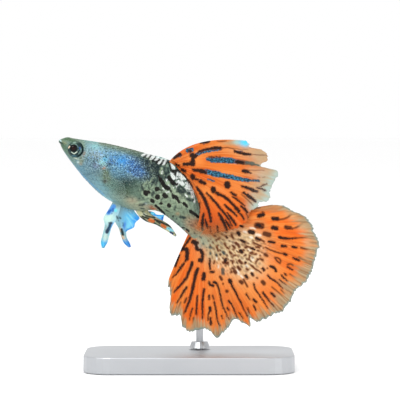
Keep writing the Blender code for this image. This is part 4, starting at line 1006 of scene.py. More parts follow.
TAIL_BROWN = [
    (1.7, 285.6, 227.4, 290.6, 227.7), (0.8, 292, 228.6, 297, 227.6, 302, 224, 306, 219.4),
    (0.7, 279, 219.8, 284, 219.2, 288, 217.6, 291.4, 214.6), (0.7, 295, 238.2, 304, 237.4, 314, 236.6),
    (1.0, 186.5, 298.6, 184.5, 303), (1.2, 193.9, 318.6, 194.2, 326.5), (1.4, 220.4, 277, 221.8, 279.4),
    (1.1, 223.2, 284), (0.9, 212.6, 296, 213.9, 299.4), (1.8, 227, 291.5), (1.5, 223.6, 262.6, 227.6, 263),
    (2.3, 264.8, 233.6, 269.2, 234.9), (3.0, 257, 225.4, 261.4, 226), (1.1, 262.8, 212.6),
    (0.9, 260, 239.6, 264, 241.4), (0.9, 253.6, 242.8, 257.5, 244.4, 261, 246.2), (0.9, 256, 247, 259.4, 247.6),
    (0.8, 265.6, 247.4, 269.5, 249.6, 274.5, 251.6, 280, 253, 284, 253.6), (0.9, 301, 247.6, 307, 248.8, 314, 248.9),
    (1.5, 264.8, 254.4, 267.2, 255.7), (0.8, 275, 257.6, 278.5, 258, 281, 260.8, 280.2, 263.6, 277.4, 261.4, 275, 257.8),
    (0.7, 299, 257, 305, 260.6, 312.5, 265), (0.8, 288, 264.8, 290.6, 263.8, 293.2, 265.2),
    (1.0, 256, 262, 257.4, 259.8, 260, 258.8, 263, 260), (0.8, 251, 265.5, 255, 269, 258.5, 270.8, 261, 273),
    (0.8, 267.2, 268.6), (1.9, 240.6, 281.6, 242, 282.5), (0.9, 243.5, 279.5, 247.5, 286.5),
    (2.0, 262.6, 282, 264, 283.4), (1.1, 257, 277.8), (1.1, 231.6, 234.8, 233, 238), (1.4, 236, 243.4, 238, 244.6),
    (0.9, 224.6, 244, 226, 246), (1.0, 232.6, 245.6, 234.8, 248.2), (1.4, 245.6, 247.6, 247, 247),
    (1.1, 229.8, 252, 231.6, 253.8), (0.9, 233.4, 256, 235.5, 255.4), (1.1, 250.4, 253, 252.4, 252.4),
    (0.9, 249.6, 256, 249, 259.6), (0.9, 254.4, 254.6, 256.4, 254), (0.9, 231, 260.4, 232.6, 261.2, 232.8, 263.4),
    (1.4, 239.2, 260.8, 241.6, 263.4), (0.8, 214.4, 261, 214, 263.6), (1.4, 238, 267, 240, 269.4),
    (1.2, 246.6, 269, 248, 269.8), (1.1, 232.4, 268, 234, 268.8), (1.7, 234.6, 271, 235.8, 272.6), (1.2, 231.6, 272),
    (0.8, 216.6, 240, 219, 238.6), (0.8, 227, 247.5, 228.8, 249), (0.9, 216.6, 247, 218.4, 251),
    (2.2, 301, 272), (0.6, 272, 287, 280, 294, 287, 301), (0.6, 281, 290, 288, 297), (0.7, 278.6, 300.5, 283, 306),
    (0.6, 290, 274.5, 297, 279), (0.7, 187, 306, 184, 314), (0.6, 181, 303, 178, 309),
]
TAIL_TEAL = [
    (1.9, 222.8, 269.6, 223.2, 273.6), (1.3, 222.8, 251.8, 224.2, 253.8), (1.2, 216.6, 255),
    (1.0, 210.2, 252.6, 210.4, 254.4), (1.3, 209.6, 247.4, 211.4, 247.6), (0.8, 206.6, 247.4),
    (1.2, 203.2, 243.8), (1.2, 240.6, 240), (0.7, 199.4, 236.6, 201.4, 238),
    (0.5, 250.4, 209.8, 255, 208.8, 260, 208),
]


def tail_surface(across, along):
    """Middle surface of the tail fin. Across runs from its top ray to its lowest one.

    The rays start inside the stem's end and fan out to a frayed edge, which waves and cups.
    """
    root = 29.4
    root_x, root_z = spine(root)
    slope = float(heading(root))
    top, low = smooth(BACK, root), smooth(BELLY, root)
    rise = (top - (top + low) * across) * 0.93
    start = np.stack([root_x + rise * math.sin(slope), rise * 0, root_z + rise * math.cos(slope)], -1)
    angle = TAIL_TOP_ANGLE + (TAIL_LOW_ANGLE - TAIL_TOP_ANGLE) * across
    reach = smooth(TAIL_REACH, angle) + fray(across, 92, 0.42, 21)
    centre = np.array([TAIL_CENTRE[0], 0.0, TAIL_CENTRE[1]])
    turn = np.radians(angle)
    end = centre + reach[:, None] * np.stack([np.cos(turn), turn * 0, np.sin(turn)], axis=-1)
    handle = (start + end) / 2
    for place, corner in ((0.0, TAIL_TOP_HANDLE), (1.0, TAIL_LOW_HANDLE)):
        pull = (1 - ease(0.0, TAIL_HANDLE_SHARE, np.abs(across - place)))[:, None]
        handle = handle * (1 - pull) + np.array([corner[0], 0.0, corner[1]]) * pull
    surface = bezier(start, handle, end, along)
    wave = TAIL_WAVE_HEIGHT * np.sin(2 * math.pi * TAIL_WAVES * across + TAIL_WAVE_START)[:, None]
    cup = TAIL_CUP * ((across - 0.45) ** 2)[:, None] - 0.25
    ripple = 0.10 * np.sin(2 * math.pi * 23 * across + 1.0)[:, None]
    surface[..., 1] += (wave + ripple) * along[None, :] ** 1.6 + cup * along[None, :] ** 1.8
    return surface


def tail_paint(surface, across, along):
    """Cream fan centre with brown specks, orange outside, a clear frayed edge, and the gap to black."""
    x, y = waver(*photo_place(surface), 0.5, 31)
    from_fan = np.hypot(x - FAN_PIXEL[0], y - FAN_PIXEL[1])
    bearing = np.degrees(np.arctan2(FAN_PIXEL[1] - y, x - FAN_PIXEL[0]))
    length = np.linalg.norm(surface[:, -1] - surface[:, 0], axis=-1)[:, None] / PIXEL
    to_edge = (1 - along[None, :]) * length
    fine = mottle(bearing, from_fan / 16, 0.9, 33)
    broad = mottle(bearing, from_fan / 22, 3.6, 34)
    colour = np.broadcast_to(linear("#ee7220"), surface.shape).copy()
    colour = tint(colour, "#ef8a3c", 0.7 * ease(0.5, 0.85, broad))
    colour = tint(colour, "#ec6412", 0.75 * ease(0.5, 0.15, broad))
    colour = tint(colour, "#d0571a", 0.5 * ease(0.48, 0.15, fine))
    colour = tint(colour, "#f0994e", 0.4 * ease(0.56, 0.9, fine))
    colour = dabs(colour, x + 4 * (fine - 0.5), y + 4 * (fine - 0.5), TAIL_DABS)
    cream = np.maximum(wash(x, y, (230, 250, 28, 18, 38)), wash(x, y, (246, 254, 16, 22, 70)))
    flecks = mottle(bearing * 0.8, from_fan / 2.6, 1.0, 35)
    colour = tint(colour, "#efe0c4", 0.45 * cream * ease(0.62, 0.9, flecks))
    colour = tint(colour, "#a9703c", 0.6 * cream * ease(0.42, 0.15, flecks))
    colour = tint(colour, "#f8efdc", 0.8 * inside(mark_gap(x, y, TAIL_WHITE), 0.9))
    colour = tint(colour, "#5a2a0e", 0.95 * fan_specks(x, y) * np.clip(1.5 * cream, 0, 1))
    brown = mark_gap(x, y, TAIL_BROWN)
    colour = tint(colour, "#964b1a", 0.75 * inside(brown - 0.3, 0.8))
    colour = tint(colour, "#46200e", 0.85 * inside(brown + 0.2, 0.6))
    colour = tint(colour, "#2c4444", 0.85 * inside(mark_gap(x, y, TAIL_TEAL), 0.8))
    share = (to_edge + 3.0 * (mottle(bearing, bearing * 0, 1.3, 36) - 0.5)) / smooth(TAIL_MARGIN, bearing)
    share = share + 0.9 * (fine - 0.5)
    margin = 1 - ease(0.3, 1.3, share)
    colour = tint(colour, "#c99c6a", 0.85 * margin)
    colour = tint(colour, "#ab9370", 0.7 * (1 - ease(0.1, 0.8, share)))
    hair = mottle(bearing, from_fan / 50, 0.45, 37)
    colour = tint(colour, "#7a4a24", 0.55 * margin * ease(0.55, 0.85, hair))
    colour = tint(colour, "#dcc8a0", 0.35 * margin * ease(0.45, 0.15, hair))
    colour = tint(colour, "#86a096", 0.8 * (1 - ease(0.6, 3.0, to_edge + 1.5 * (fine - 0.5))))
    alpha = 1 - 0.12 * margin - 0.12 * (1 - ease(0.5, 3.0, to_edge))
    black = np.minimum(mark_gap(x, y, TAIL_BLACK_SPOTS), mark_gap(x, y, TAIL_STREAKS, 0.15, 0.6))
    return opaque(colour, alpha), black + 0.12 + 2 * (1 - ease(0.0, 3.0, to_edge))


def fan_specks(x, y):
    """Small brown specks in arcs round the fan centre, longer along the rays than across them."""
    rng = np.random.default_rng(8)
    away = np.hypot(x - FAN_PIXEL[0], y - FAN_PIXEL[1])
    bearing = np.arctan2(FAN_PIXEL[1] - y, x - FAN_PIXEL[0])
    cover = np.zeros_like(x)
    for k, reach in enumerate(np.arange(16, 72, 4.4)):
        count = int(reach * 2.0 / 4.2)
        for i in range(count):
            angle = math.radians(8 - (i + 0.5 * (k % 2) + rng.uniform(-0.25, 0.25)) * 112 / count)
            r = reach + rng.uniform(-1.3, 1.3)
            long, wide = rng.uniform(1.1, 2.3), rng.uniform(0.9, 1.5)
            d = np.hypot((away - r) / long, (bearing - angle) * r / wide)
            cover = np.maximum(cover, rng.uniform(0.5, 1.0) * (1 - ease(0.6, 1.4, d)))
    return cover


def make_tail(material):
    across = np.linspace(0, 1, 420)
    along = np.linspace(0, 1, 116) ** 0.9
    surface = tail_surface(across, along)
    ridges = ray_ridges(across, along, TAIL_RAYS, 0.35, 0.72) * (1 - 0.4 * along[None, :])
    rays = np.broadcast_to((across * TAIL_RAYS * 4)[:, None], ridges.shape)
    paint, black = tail_paint(surface, across, along)
    add_fin(
        "tail_membrane", surface, ridges, 0.12, 0.07, paint, material, ("tail_fin",),
        rays, black,
    )


BACK_FIN_START = 19.15
BACK_FIN_END = 22.3
BACK_FIN_RAYS = 11
BACK_FIN_EDGE = [
    (0.00, 34.1, 0.05), (0.05, 34.6, -0.55), (0.09, 34.75, -1.15), (0.13, 36.9, -1.6),
    (0.18, 38.0, -2.8), (0.21, 37.9, -3.6), (0.235, 36.7, -4.4), (0.26, 37.6, -5.1),
    (0.30, 39.65, -5.35), (0.36, 39.3, -7.1), (0.43, 38.4, -9.1), (0.49, 38.0, -10.9),
    (0.53, 36.4, -11.2), (0.565, 36.2, -12.0), (0.60, 34.9, -12.6), (0.67, 34.4, -14.3), (0.73, 32.9, -15.4),
    (0.80, 30.6, -16.2), (0.87, 28.2, -16.7), (0.94, 26.4, -16.6), (1.00, 24.9, -15.9),
]
BACK_FIN_HANDLES = [(0.0, 23.9, 1.15), (0.25, 27.7, -2.0), (0.5, 27.5, -6.2), (1.0, 27.0, -11.8)]
BACK_FIN_WAVES = 2.2
BACK_FIN_WAVE_START = 0.4
BACK_FIN_WAVE_HEIGHT = 0.42
BACK_FIN_DRAPE = 2.4

BACK_FIN_BLUE = [
    (2.3, 188.2, 150.6, 191.8, 149.8), (2.0, 196.6, 154.8, 199, 153.4), (1.6, 199, 153.4, 204, 151.6, 210, 150.7),
    (1.2, 210, 150.6, 216, 150, 220.6, 149.2), (2.0, 208, 159, 212, 159.8), (2.9, 212, 159.8, 222, 160, 231, 160.6),
    (2.5, 231, 160.8, 237, 161.6, 242, 162.2), (2.0, 242, 162.4, 248, 162.9, 253, 163.8), (0.8, 253, 163.8, 259, 165.4),
    (2.6, 206, 171.6, 213, 173), (3.0, 213, 173.2, 219, 174.6), (2.5, 219, 174.8, 232, 177),
    (2.2, 232, 177, 240, 179), (1.8, 240, 179.2, 248, 180.2), (1.1, 248, 180.4, 259, 180.7), (0.8, 204, 143.6),
    (0.8, 208, 179.4, 214, 181), (1.0, 179.6, 156.4, 180.8, 154.8), (0.8, 199.6, 179.8, 202, 181),
    (0.8, 237, 151, 242, 151.8),
]
BACK_FIN_BLACK = [
    (1.5, 173.8, 157.6, 177.5, 156, 179.8, 154.4), (1.0, 190, 151, 190.6, 151.8), (2.6, 192, 155.2, 194.2, 156.2),
    (1.9, 193.2, 158, 192.8, 161), (2.6, 192, 163.2, 192.6, 163.8), (1.6, 184.2, 164.2, 188, 164.2, 192, 163.6),
    (1.0, 195.4, 156.6, 197, 155.8), (0.9, 199, 151.8, 204, 149.6, 212, 148.4), (1.3, 212, 148.4, 216, 147.9, 220.6, 148.2),
    (1.3, 201, 142.4, 205.6, 142.4, 208.4, 141.4), (1.1, 235, 151.6, 240, 152.8, 246, 154, 250, 154.4),
    (1.6, 243.4, 171, 247.6, 171.5), (0.5, 248, 172, 251, 173), (1.5, 193.8, 169.9, 198, 170.4),
    (2.0, 200.4, 170.8, 204.6, 172), (1.0, 175.8, 164.6, 178.6, 165.4), (1.5, 181.8, 170, 184.6, 171),
    (2.1, 192.2, 176, 193.4, 178), (0.9, 194, 179, 198, 179.8), (1.6, 200, 181.4, 204.4, 183.4),
    (2.9, 227.2, 184, 227.4, 186), (2.4, 213, 189, 213.4, 190.6), (1.4, 216.4, 192.8, 219, 194.6, 224, 196.6, 227, 198.8),
    (1.1, 227, 199, 231, 202.6, 235, 206.6), (1.6, 235.6, 207.6, 238.4, 211.2), (1.1, 231, 192.6, 235.6, 195.4),
    (1.5, 236.6, 161.8, 243, 162.8), (0.7, 192.6, 187, 191, 183.2, 187, 178.4, 182, 173.8, 177, 169.6),
    (0.8, 199.3, 203, 199.3, 210, 198, 216), (0.4, 209, 157, 220, 156.8),
]
BACK_FIN_STREAKS = [
    (1.0, 238.4, 211.6, 241.5, 215.5, 244, 219.5), (0.9, 232.2, 196.6, 236.4, 199, 240, 202, 244.6, 206),
    (1.8, 241.8, 186.2, 247.5, 188, 252.4, 190, 257.4, 191.6), (1.9, 243.2, 192.6, 248, 195.6, 251.6, 198.4, 255.4, 201.4),
    (0.8, 257, 187.5, 262, 189.2, 265.4, 190.6), (0.6, 266.4, 183.6, 263, 185.4, 260, 187),
    (1.7, 241, 206, 244, 209, 247, 212.2), (1.3, 224.4, 204.6, 228, 208, 232.6, 211.8, 236.4, 215.6),
    (1.9, 196.6, 187, 200.4, 192.6, 204, 198, 206.6, 204, 208.8, 211, 210, 215.5, 210.6, 221),
    (1.3, 206.6, 192.6, 211, 197.6, 216, 203, 220.6, 208.6, 224.6, 213.6, 229, 219.6),
    (1.8, 203.6, 213.4, 202.7, 219, 202.4, 224, 202.4, 229), (1.2, 205.2, 218.8, 206.4, 223.4, 207.6, 227.4),
    (2.1, 218.6, 213, 221.4, 218, 223.6, 222, 226.6, 229), (1.2, 225, 219.5, 228.5, 224.5, 229.8, 227),
    (1.4, 227.4, 213, 230.8, 217.6, 233.6, 221.4, 235.6, 224.4), (0.9, 229.5, 221, 231.8, 225.4),
    (1.2, 217, 225.6, 218, 231), (0.7, 210, 226, 210.4, 231),
]
BACK_FIN_BROWN = [
    (0.9, 221, 148.2, 228, 147.5, 233, 148.6, 236, 151), (0.6, 234, 148, 240, 149.5, 248, 149.8),
    (0.7, 250, 154.3, 258, 155, 267, 155.2), (0.9, 217, 141.2, 222, 141.4, 226, 141), (0.8, 253, 164, 259.4, 165.6),
    (0.6, 249.5, 169.9, 256, 170.2, 264, 170.2), (0.9, 241.5, 194.6, 246, 198.6, 251, 203, 253, 205.4),
    (0.6, 258, 177, 260, 177.5), (0.6, 262, 177.5, 265, 176.8), (1.8, 246, 213.5, 248.5, 218.5),
    (0.5, 171, 160.5, 176, 165.4, 184, 171, 191, 178, 196, 188), (0.9, 193.6, 188, 196.6, 194, 198.4, 201),
]
BACK_FIN_DABS = [
    (212, 220, 24, 15, 20, "#c24c16", 0.85), (225, 205, 20, 14, 45, "#ee6c1c", 0.6),
    (225, 167, 26, 4, 8, "#e87c2e", 0.8), (196, 160, 8, 6, 0, "#fb9746", 0.8), (207, 191, 8, 4, 45, "#f99a4c", 0.6),
    (198, 201, 2.5, 9, -10, "#b8642e", 0.7), (233, 150, 16, 5, 6, "#e89a58", 0.7), (250, 152, 14, 8, 8, "#d9a878", 0.85),
    (262, 155, 8, 7, 0, "#cdb492", 0.7), (232, 143, 9, 2.6, 0, "#b79a72", 0.8), (256, 172, 10, 6, 8, "#d8a878", 0.8),
    (266, 180, 7, 10, 0, "#c3cbbd", 0.9), (258, 190, 8, 7, 30, "#cbb08a", 0.8), (259, 199, 9, 5, 30, "#bfc9b8", 0.85),
    (251, 204, 7, 4, 45, "#b9a07c", 0.7), (248, 215, 4, 6, 20, "#b9764a", 0.7), (252, 185, 8, 5, 20, "#e0a468", 0.6),
]


def flank_reach(x, z):
    """Half width of the body behind each side-view point (x, z), which is 0 outside its outline."""
    stations = np.linspace(0.0, SPINE_LENGTH, 151)
    line_x, line_z = spine(stations)
    far_x, far_z = x[..., None] - line_x, z[..., None] - line_z
    nearest = np.argmin(far_x**2 + far_z**2, axis=-1)
    s = stations[nearest]
    rise = (x - line_x[nearest]) * np.sin(heading(s)) + (z - line_z[nearest]) * np.cos(heading(s))
    height = np.where(rise >= 0, smooth(BACK, s), smooth(BELLY, s))
    inside = nearest < len(stations) - 1
    return smooth(HALF_WIDTH, s) * np.sqrt(np.clip(1 - (rise / height) ** 2, 0, 1)) * inside


def back_fin_surface(across, along):
    """Middle surface of the back fin. Across runs from its front ray to its last one.

    Its rays curve back from inside the ridge of the back, and the rear ones fall over the left side.
    """
    station = BACK_FIN_START + (BACK_FIN_END - BACK_FIN_START) * across
    start = body_surface(station, 0.0, swell=-0.25)
    edge_x = smooth([(k[0], k[1]) for k in BACK_FIN_EDGE], across)
    edge_z = smooth([(k[0], k[2]) for k in BACK_FIN_EDGE], across)
    handle_x = smooth([(k[0], k[1]) for k in BACK_FIN_HANDLES], across)
    handle_z = smooth([(k[0], k[2]) for k in BACK_FIN_HANDLES], across)
    end = np.stack([edge_x, edge_x * 0, edge_z], axis=-1)
    handle = np.stack([handle_x, handle_x * 0, handle_z], axis=-1)
    toward = (handle - end) / np.linalg.norm(handle - end, axis=-1, keepdims=True)
    end = end - toward * (fray(across, 56, 0.40, 22) - 0.05)[:, None]
    surface = bezier(start, handle, end, along)
    fall = 1 - (1 - along[None, :]) ** 3.2
    drape = BACK_FIN_DRAPE * ease(0.42, 0.95, across)[:, None] * fall
    calmer = 1 - 0.6 * ease(0.5, 0.9, across)
    wave = np.sin(2 * math.pi * BACK_FIN_WAVES * across + BACK_FIN_WAVE_START) * calmer
    wave = BACK_FIN_WAVE_HEIGHT * wave[:, None] * along[None, :] ** 1.5
    flank = flank_reach(surface[..., 0], surface[..., 2])
    clear = flank + 0.35 * ease(0.0, 1.2, flank)
    surface[..., 1] = np.minimum(wave - drape, -clear)
    return surface


def back_fin_paint(surface, across, along):
    """Orange membrane, clear and tan at its edge, and the gaps to its black and its blue marks."""
    x, y = waver(*photo_place(surface), 0.6, 41)
    wide, deep = np.broadcast_arrays(across[:, None] * 60, along[None, :] * 3)
    fine, broad = mottle(wide, deep, 0.6, 43), mottle(wide / 4, deep, 1.0, 44)
    colour = np.broadcast_to(linear("#e07428"), surface.shape).copy()
    colour = tint(colour, "#ea8a42", 0.75 * ease(0.5, 0.85, broad))
    colour = tint(colour, "#e05a10", 0.75 * ease(0.5, 0.15, broad))
    colour = tint(colour, "#c44b12", 0.5 * ease(0.45, 0.15, fine))
    colour = tint(colour, "#f4a05c", 0.35 * ease(0.58, 0.9, fine))
    colour = dabs(colour, x + 5 * (fine - 0.5), y, BACK_FIN_DABS)
    to_edge = (1 - along[None, :]) * 62 + 3.0 * (fine - 0.5)
    outer = ease(236, 262, x) * ease(146, 152, y) * (1 - ease(206, 214, y))
    colour = tint(colour, "#c9a67a", 0.9 * outer * (1 - ease(4.0, 12.0, to_edge)))
    colour = tint(colour, "#b6c6b6", 0.9 * outer * (1 - ease(1.0, 6.5, to_edge)) * ease(162, 172, y))
    colour = tint(colour, "#b9cfc8", 0.8 * outer * (1 - ease(0.0, 3.0, to_edge)) * ease(162, 172, y))
    colour = tint(colour, "#6b3012", 0.8 * inside(mark_gap(x, y, BACK_FIN_BROWN, 0.5, 0.5), 0.7))
    grey = ease(232, 246, x) * ease(158, 160, y) * (1 - ease(166, 168, y))
    blue = mark_gap(x, y, BACK_FIN_BLUE)
    colour = tint(colour, "#46584c", 0.9 * inside(blue, 0.6) * grey)
    colour = tint(colour, "#a8cfc6", 0.8 * wash(x, y, (237, 142, 5, 3, 5)))
    colour = tint(colour, "#5fd8fc", wash(x, y, (245, 142.4, 6.4, 4.6, 10)))
    rearmost = ease(0.70, 0.92, across)[:, None] * ease(0.78, 1.0, along)[None, :]
    colour = tint(colour, "#b06a3c", 0.8 * rearmost)
    alpha = 1 - 0.2 * outer - 0.7 * rearmost
    black = mark_gap(x, y, BACK_FIN_BLACK)
    streaks = mark_gap(x, y, BACK_FIN_STREAKS, 0.6, 0.5) - 0.15
    return opaque(colour, alpha), np.minimum(black, streaks), blue + 2 * grey


def make_back_fin(material):
    across = np.linspace(0, 1, 353)
    along = np.linspace(0, 1, 121)
    surface = back_fin_surface(across, along)
    ridges = ray_ridges(across, along, BACK_FIN_RAYS, 0.35, 0.70) * (1 - 0.5 * along[None, :])
    rays = np.broadcast_to((across * BACK_FIN_RAYS * 6)[:, None], ridges.shape)
    paint, black, blue = back_fin_paint(surface, across, along)
    add_fin(
        "back_fin_membrane", surface, ridges, 0.12, 0.06, paint, material, ("back_fin",),
        rays, black, blue,
    )


def edge_curve(points, along):
    """A smooth curve through evenly shared (x, z) points, at the shares in along."""
    places = np.linspace(0, 1, len(points))
    x = smooth([(place, point[0]) for place, point in zip(places, points)], along)
    z = smooth([(place, point[1]) for place, point in zip(places, points)], along)
    return np.stack([x, x * 0, z], axis=-1)


def strip_surface(front_edge, rear_edge, across, along):
    """A flat fin between two edge curves that run from its root to its tip."""
    front, rear = edge_curve(front_edge, along), edge_curve(rear_edge, along)
    u = across[:, None, None]
    return front[None] * (1 - u) + rear[None] * u


def laid_on(surface, root, along):
    """Moves a fin's first row onto its root line, and lets the rows after it follow less and less."""
    offset = root - surface[:, 0]
    return surface + offset[:, None, :] * ((1 - along) ** 3)[None, :, None]


BELLY_FIN_ROOT_TURN = 16.0
BELLY_FIN_SPREAD = 1.3
LEFT_BELLY_FIN = {
    "root": (13.8, 15.4),
    "front": [
        (10.25, -11.4), (9.15, -12.9), (8.25, -14.1), (8.4, -15.2), (8.1, -16.6), (7.7, -18.2),
        (7.9, -19.35),
    ],
    "rear": [
        (11.2, -12.0), (10.9, -13.1), (10.5, -14.3), (9.65, -15.6), (9.25, -17.0), (8.9, -18.3),
        (8.25, -19.4),
    ],
}
RIGHT_BELLY_FIN = {
    "root": (15.0, 17.5),
    "front": [
        (11.2, -12.0), (10.5, -13.3), (10.2, -14.8), (10.85, -16.1), (11.2, -17.3),
        (11.7, -18.6), (12.6, -19.5),
    ],
    "rear": [
        (13.5, -12.9), (14.2, -13.75), (14.75, -14.45), (13.95, -15.15), (13.6, -15.95), (12.35, -16.5),
        (12.2, -17.2), (12.4, -17.95), (12.8, -18.7), (13.0, -19.4),
    ],
}
BELLY_FIN_DABS = [
    (120, 213, 9, 9, 60, "#a2cfda", 0.9), (118, 204, 12, 3.6, 20, "#7d9c98", 0.97), (124, 209.6, 5, 4, 20, "#a6ced6", 0.8), (109, 218, 7, 5, 0, "#d4f6ea", 0.95),
    (131, 218, 10, 11, 30, "#5cc8ff", 0.97), (136.6, 219.4, 4, 6, 45, "#37a4ff", 0.95), (129, 218, 4, 4, 0, "#7edcff", 0.8),
    (128, 226, 5, 5, 0, "#86e2ff", 0.85), (133, 228, 4, 2.6, -30, "#3fa8fc", 0.9), (128, 230.4, 4, 1.8, -10, "#45aefc", 0.9),
    (130, 210.6, 5, 2.6, 20, "#84b8cc", 0.8), (103, 243.6, 4, 5, 20, "#52d0ff", 0.97), (106, 243, 1.8, 4, 15, "#45b4fc", 0.8),
    (126.6, 243.6, 5, 4, 45, "#3ca2f8", 0.97), (129.6, 247, 2, 3, 0, "#3890f0", 0.9), (124.4, 225.6, 1.8, 4.4, 10, "#4a8ae4", 0.9),
    (106, 237, 3, 4, 15, "#dcf4e8", 0.8), (109.6, 233, 1.4, 2.6, 20, "#a4e2f4", 0.8), (112.4, 226, 1.6, 5, 20, "#54aaf4", 0.85),
    (115.8, 210.2, 1.8, 1.8, 0, "#74eefa", 0.95), (119.4, 226, 1.2, 4, -10, "#94c4cc", 0.8),
    (124.6, 238, 2, 4, -25, "#c4dcd4", 0.7),
]
BELLY_FIN_MARKS = (
    ("#3f92e8", 0.9, 1.2, [(2.4, 108.6, 212.4, 111, 210, 113.6, 206.6)]),
    ("#1f55ac", 0.85, 0.9, [(1.1, 108.8, 212, 111, 210), (0.8, 113.4, 208.6, 113, 211), (0.6, 112, 213.6)]),
    ("#f2ccA4", 0.9, 0.8, [(1.2, 121.8, 236, 122.8, 238.8), (0.7, 120, 228.6, 120.3, 232)]),
    ("#b0b4a0", 0.6, 0.8, [(0.5, 106.6, 225, 105.8, 230)]),
    ("#14284c", 0.94, 0.8, [(1.6, 110.8, 223, 109.4, 227, 107.2, 231.6), (0.9, 109.6, 222.6, 112, 222.8)]),
    ("#2f6a8c", 0.6, 0.8, [(0.8, 110.6, 224.6, 109.4, 229)]),
    ("#173a44", 0.85, 0.7, [(0.7, 117, 216, 117.8, 219), (0.8, 119.4, 217.8, 120.4, 218.6), (0.6, 118.4, 221)]),
    ("#2c4c66", 0.7, 0.8, [(0.6, 122.6, 223, 123, 226)]),
    ("#0f221e", 0.94, 0.7, [(1.2, 121.4, 229.6, 122, 232.6, 122.8, 235)]),
    ("#b8f2ff", 0.6, 0.5, [(0.3, 127, 213, 133, 219, 137.4, 222), (0.3, 126, 217, 130, 223, 133, 228), (0.3, 129, 211.6, 135, 216.4)]),
    ("#3c9cf0", 0.6, 0.5, [(0.3, 127.6, 215.6, 132, 221, 135, 224.6), (0.3, 131, 213, 137, 219)]),
)


def belly_fin_paint(surface, along):
    """Pale mint membrane with navy bars, a cyan tip and blue web, clearer towards its edges."""
    x, y = waver(*photo_place(surface), 0.6, 71)
    colour = np.broadcast_to(linear("#b2e0e8"), surface.shape).copy()
    colour = dabs(colour, x, y, BELLY_FIN_DABS)
    for code, strength, soft, places in BELLY_FIN_MARKS:
        colour = tint(colour, code, strength * inside(mark_gap(x, y, places), soft))
    alpha = 0.96 - 0.16 * ease(0.9, 1.0, along)[None, :] * np.ones_like(x)
    return opaque(colour, alpha)


def make_belly_fin(side, word, shape, material):
    across = np.linspace(0, 1, 73)
    along = np.linspace(0, 1, 121)
    surface = strip_surface(shape["front"], shape["rear"], across, along)
    start, end = shape["root"]
    turn = math.pi + side * math.radians(BELLY_FIN_ROOT_TURN)
    root = body_surface(start + (end - start) * across, turn, swell=-0.2)
    surface[..., 1] = root[:, 1][:, None] + side * BELLY_FIN_SPREAD * along[None, :]
    surface = laid_on(surface, root, along)
    surface[..., 1] += 0.12 * np.sin(2 * math.pi * 1.5 * across)[:, None] * along[None, :]
    ridges = ray_ridges(across, along, 6, 0.45, 0.95)
    rays = np.broadcast_to((across * 18)[:, None], ridges.shape)
    add_fin(
        "belly_membrane_" + word, surface, ridges, 0.08, 0.04, belly_fin_paint(surface, along), material,
        ("belly_fin_" + word,), rays,
    )


PECTORAL_TOP = (9.9, 105.0)
PECTORAL_LOW = (11.0, 122.0)
PECTORAL_LENGTH = 5.6
PECTORAL_PITCH = 45.0
PECTORAL_SPREAD = 36.0
PECTORAL_OUT = 22.0
PECTORAL_BOW = 0.25
PECTORAL_LONGEST = 0.425


def make_pectoral_fin(side, word, material):
    """Clear fan of rays folded back, down and away from the flank."""
    across = np.linspace(0, 1, 97)
    along = np.linspace(0, 1, 61)
    station = PECTORAL_TOP[0] + (PECTORAL_LOW[0] - PECTORAL_TOP[0]) * across
    angle = np.radians(PECTORAL_TOP[1] + (PECTORAL_LOW[1] - PECTORAL_TOP[1]) * across)
    start = body_surface(station, -side * angle, swell=-0.1)
    turn = np.radians(-PECTORAL_PITCH + PECTORAL_SPREAD * (0.5 - across))
    out = math.radians(PECTORAL_OUT)
    back, down = np.cos(turn) * math.cos(out), np.sin(turn) * math.cos(out)
    direction = np.stack([back, np.full_like(back, side * math.sin(out)), down], axis=-1)
    reach = PECTORAL_LENGTH * (1 - 0.35 * np.abs(2 * (across - PECTORAL_LONGEST)) ** 2.2)
    end = start + direction * (reach + fray(across, 24, 0.18, 23))[:, None]
    handle = (start + end) / 2 + np.array([0.0, side * PECTORAL_BOW, 0.0])
    surface = bezier(start, handle, end, along)
    ridges = ray_ridges(across, along, 12, 0.5, 0.95)
    rays = np.broadcast_to((across * 24)[:, None], ridges.shape)
    colour = np.broadcast_to(linear("#a9c4c4"), surface.shape).copy()
    colour = tint(colour, "#7e9a8c", 0.5 * ridges)
    alpha = 0.04 + 0.05 * ridges + 0.15 * (1 - ease(0.0, 0.25, along))[None, :]
    add_fin(
        "pectoral_membrane_" + word, surface, ridges, 0.05, 0.02, opaque(colour, alpha), material,
        ("pectoral_fin_" + word,), rays,
    )


ROD_FIN_ROOT = (18.2, 20.3)
ROD_FIN_FRONT = [
    (13.9, -13.1), (14.7, -14.1), (15.9, -14.85), (17.6, -15.3), (18.6, -15.8), (19.8, -16.5),
    (21.2, -17.45),
]
ROD_FIN_REAR = [
    (16.2, -12.9), (16.75, -13.45), (17.4, -13.8), (18.3, -14.25), (19.2, -14.7), (20.3, -15.5),
    (21.4, -17.15),
]
ROD_FIN_THICKNESS = [(0.0, 0.9), (0.6, 0.6), (1.0, 0.25)]
WEB_SUNK_EDGE = [(15.9, -13.7), (17.05, -14.05), (17.75, -14.35), (18.4, -14.6), (18.85, -14.85)]
WEB_FREE_EDGE = [(15.9, -12.7), (17.15, -12.9), (17.7, -13.35), (18.4, -13.45), (19.15, -13.42)]
WEB_MARKS = (
    ("#3f6076", 0.9, [(1.6, 146, 212.4, 150.4, 212.6)]), ("#78e4ff", 0.9, [(1.0, 151.6, 213, 153.6, 213.8)]),
    ("#2f9cf0", 0.9, [(0.7, 154, 215, 158, 215.4, 161, 215)]), ("#a4ecff", 0.8, [(0.4, 157, 216.8, 161, 217.2)]),
    ("#ffffff", 0.8, [(0.5, 150, 215.4, 153, 216, 156, 217)]), ("#5cccff", 0.9, [(0.9, 162, 215.6, 164, 215.4)]),
    ("#1f5fcc", 0.9, [(0.9, 162.4, 217.4, 162, 221)]),
)
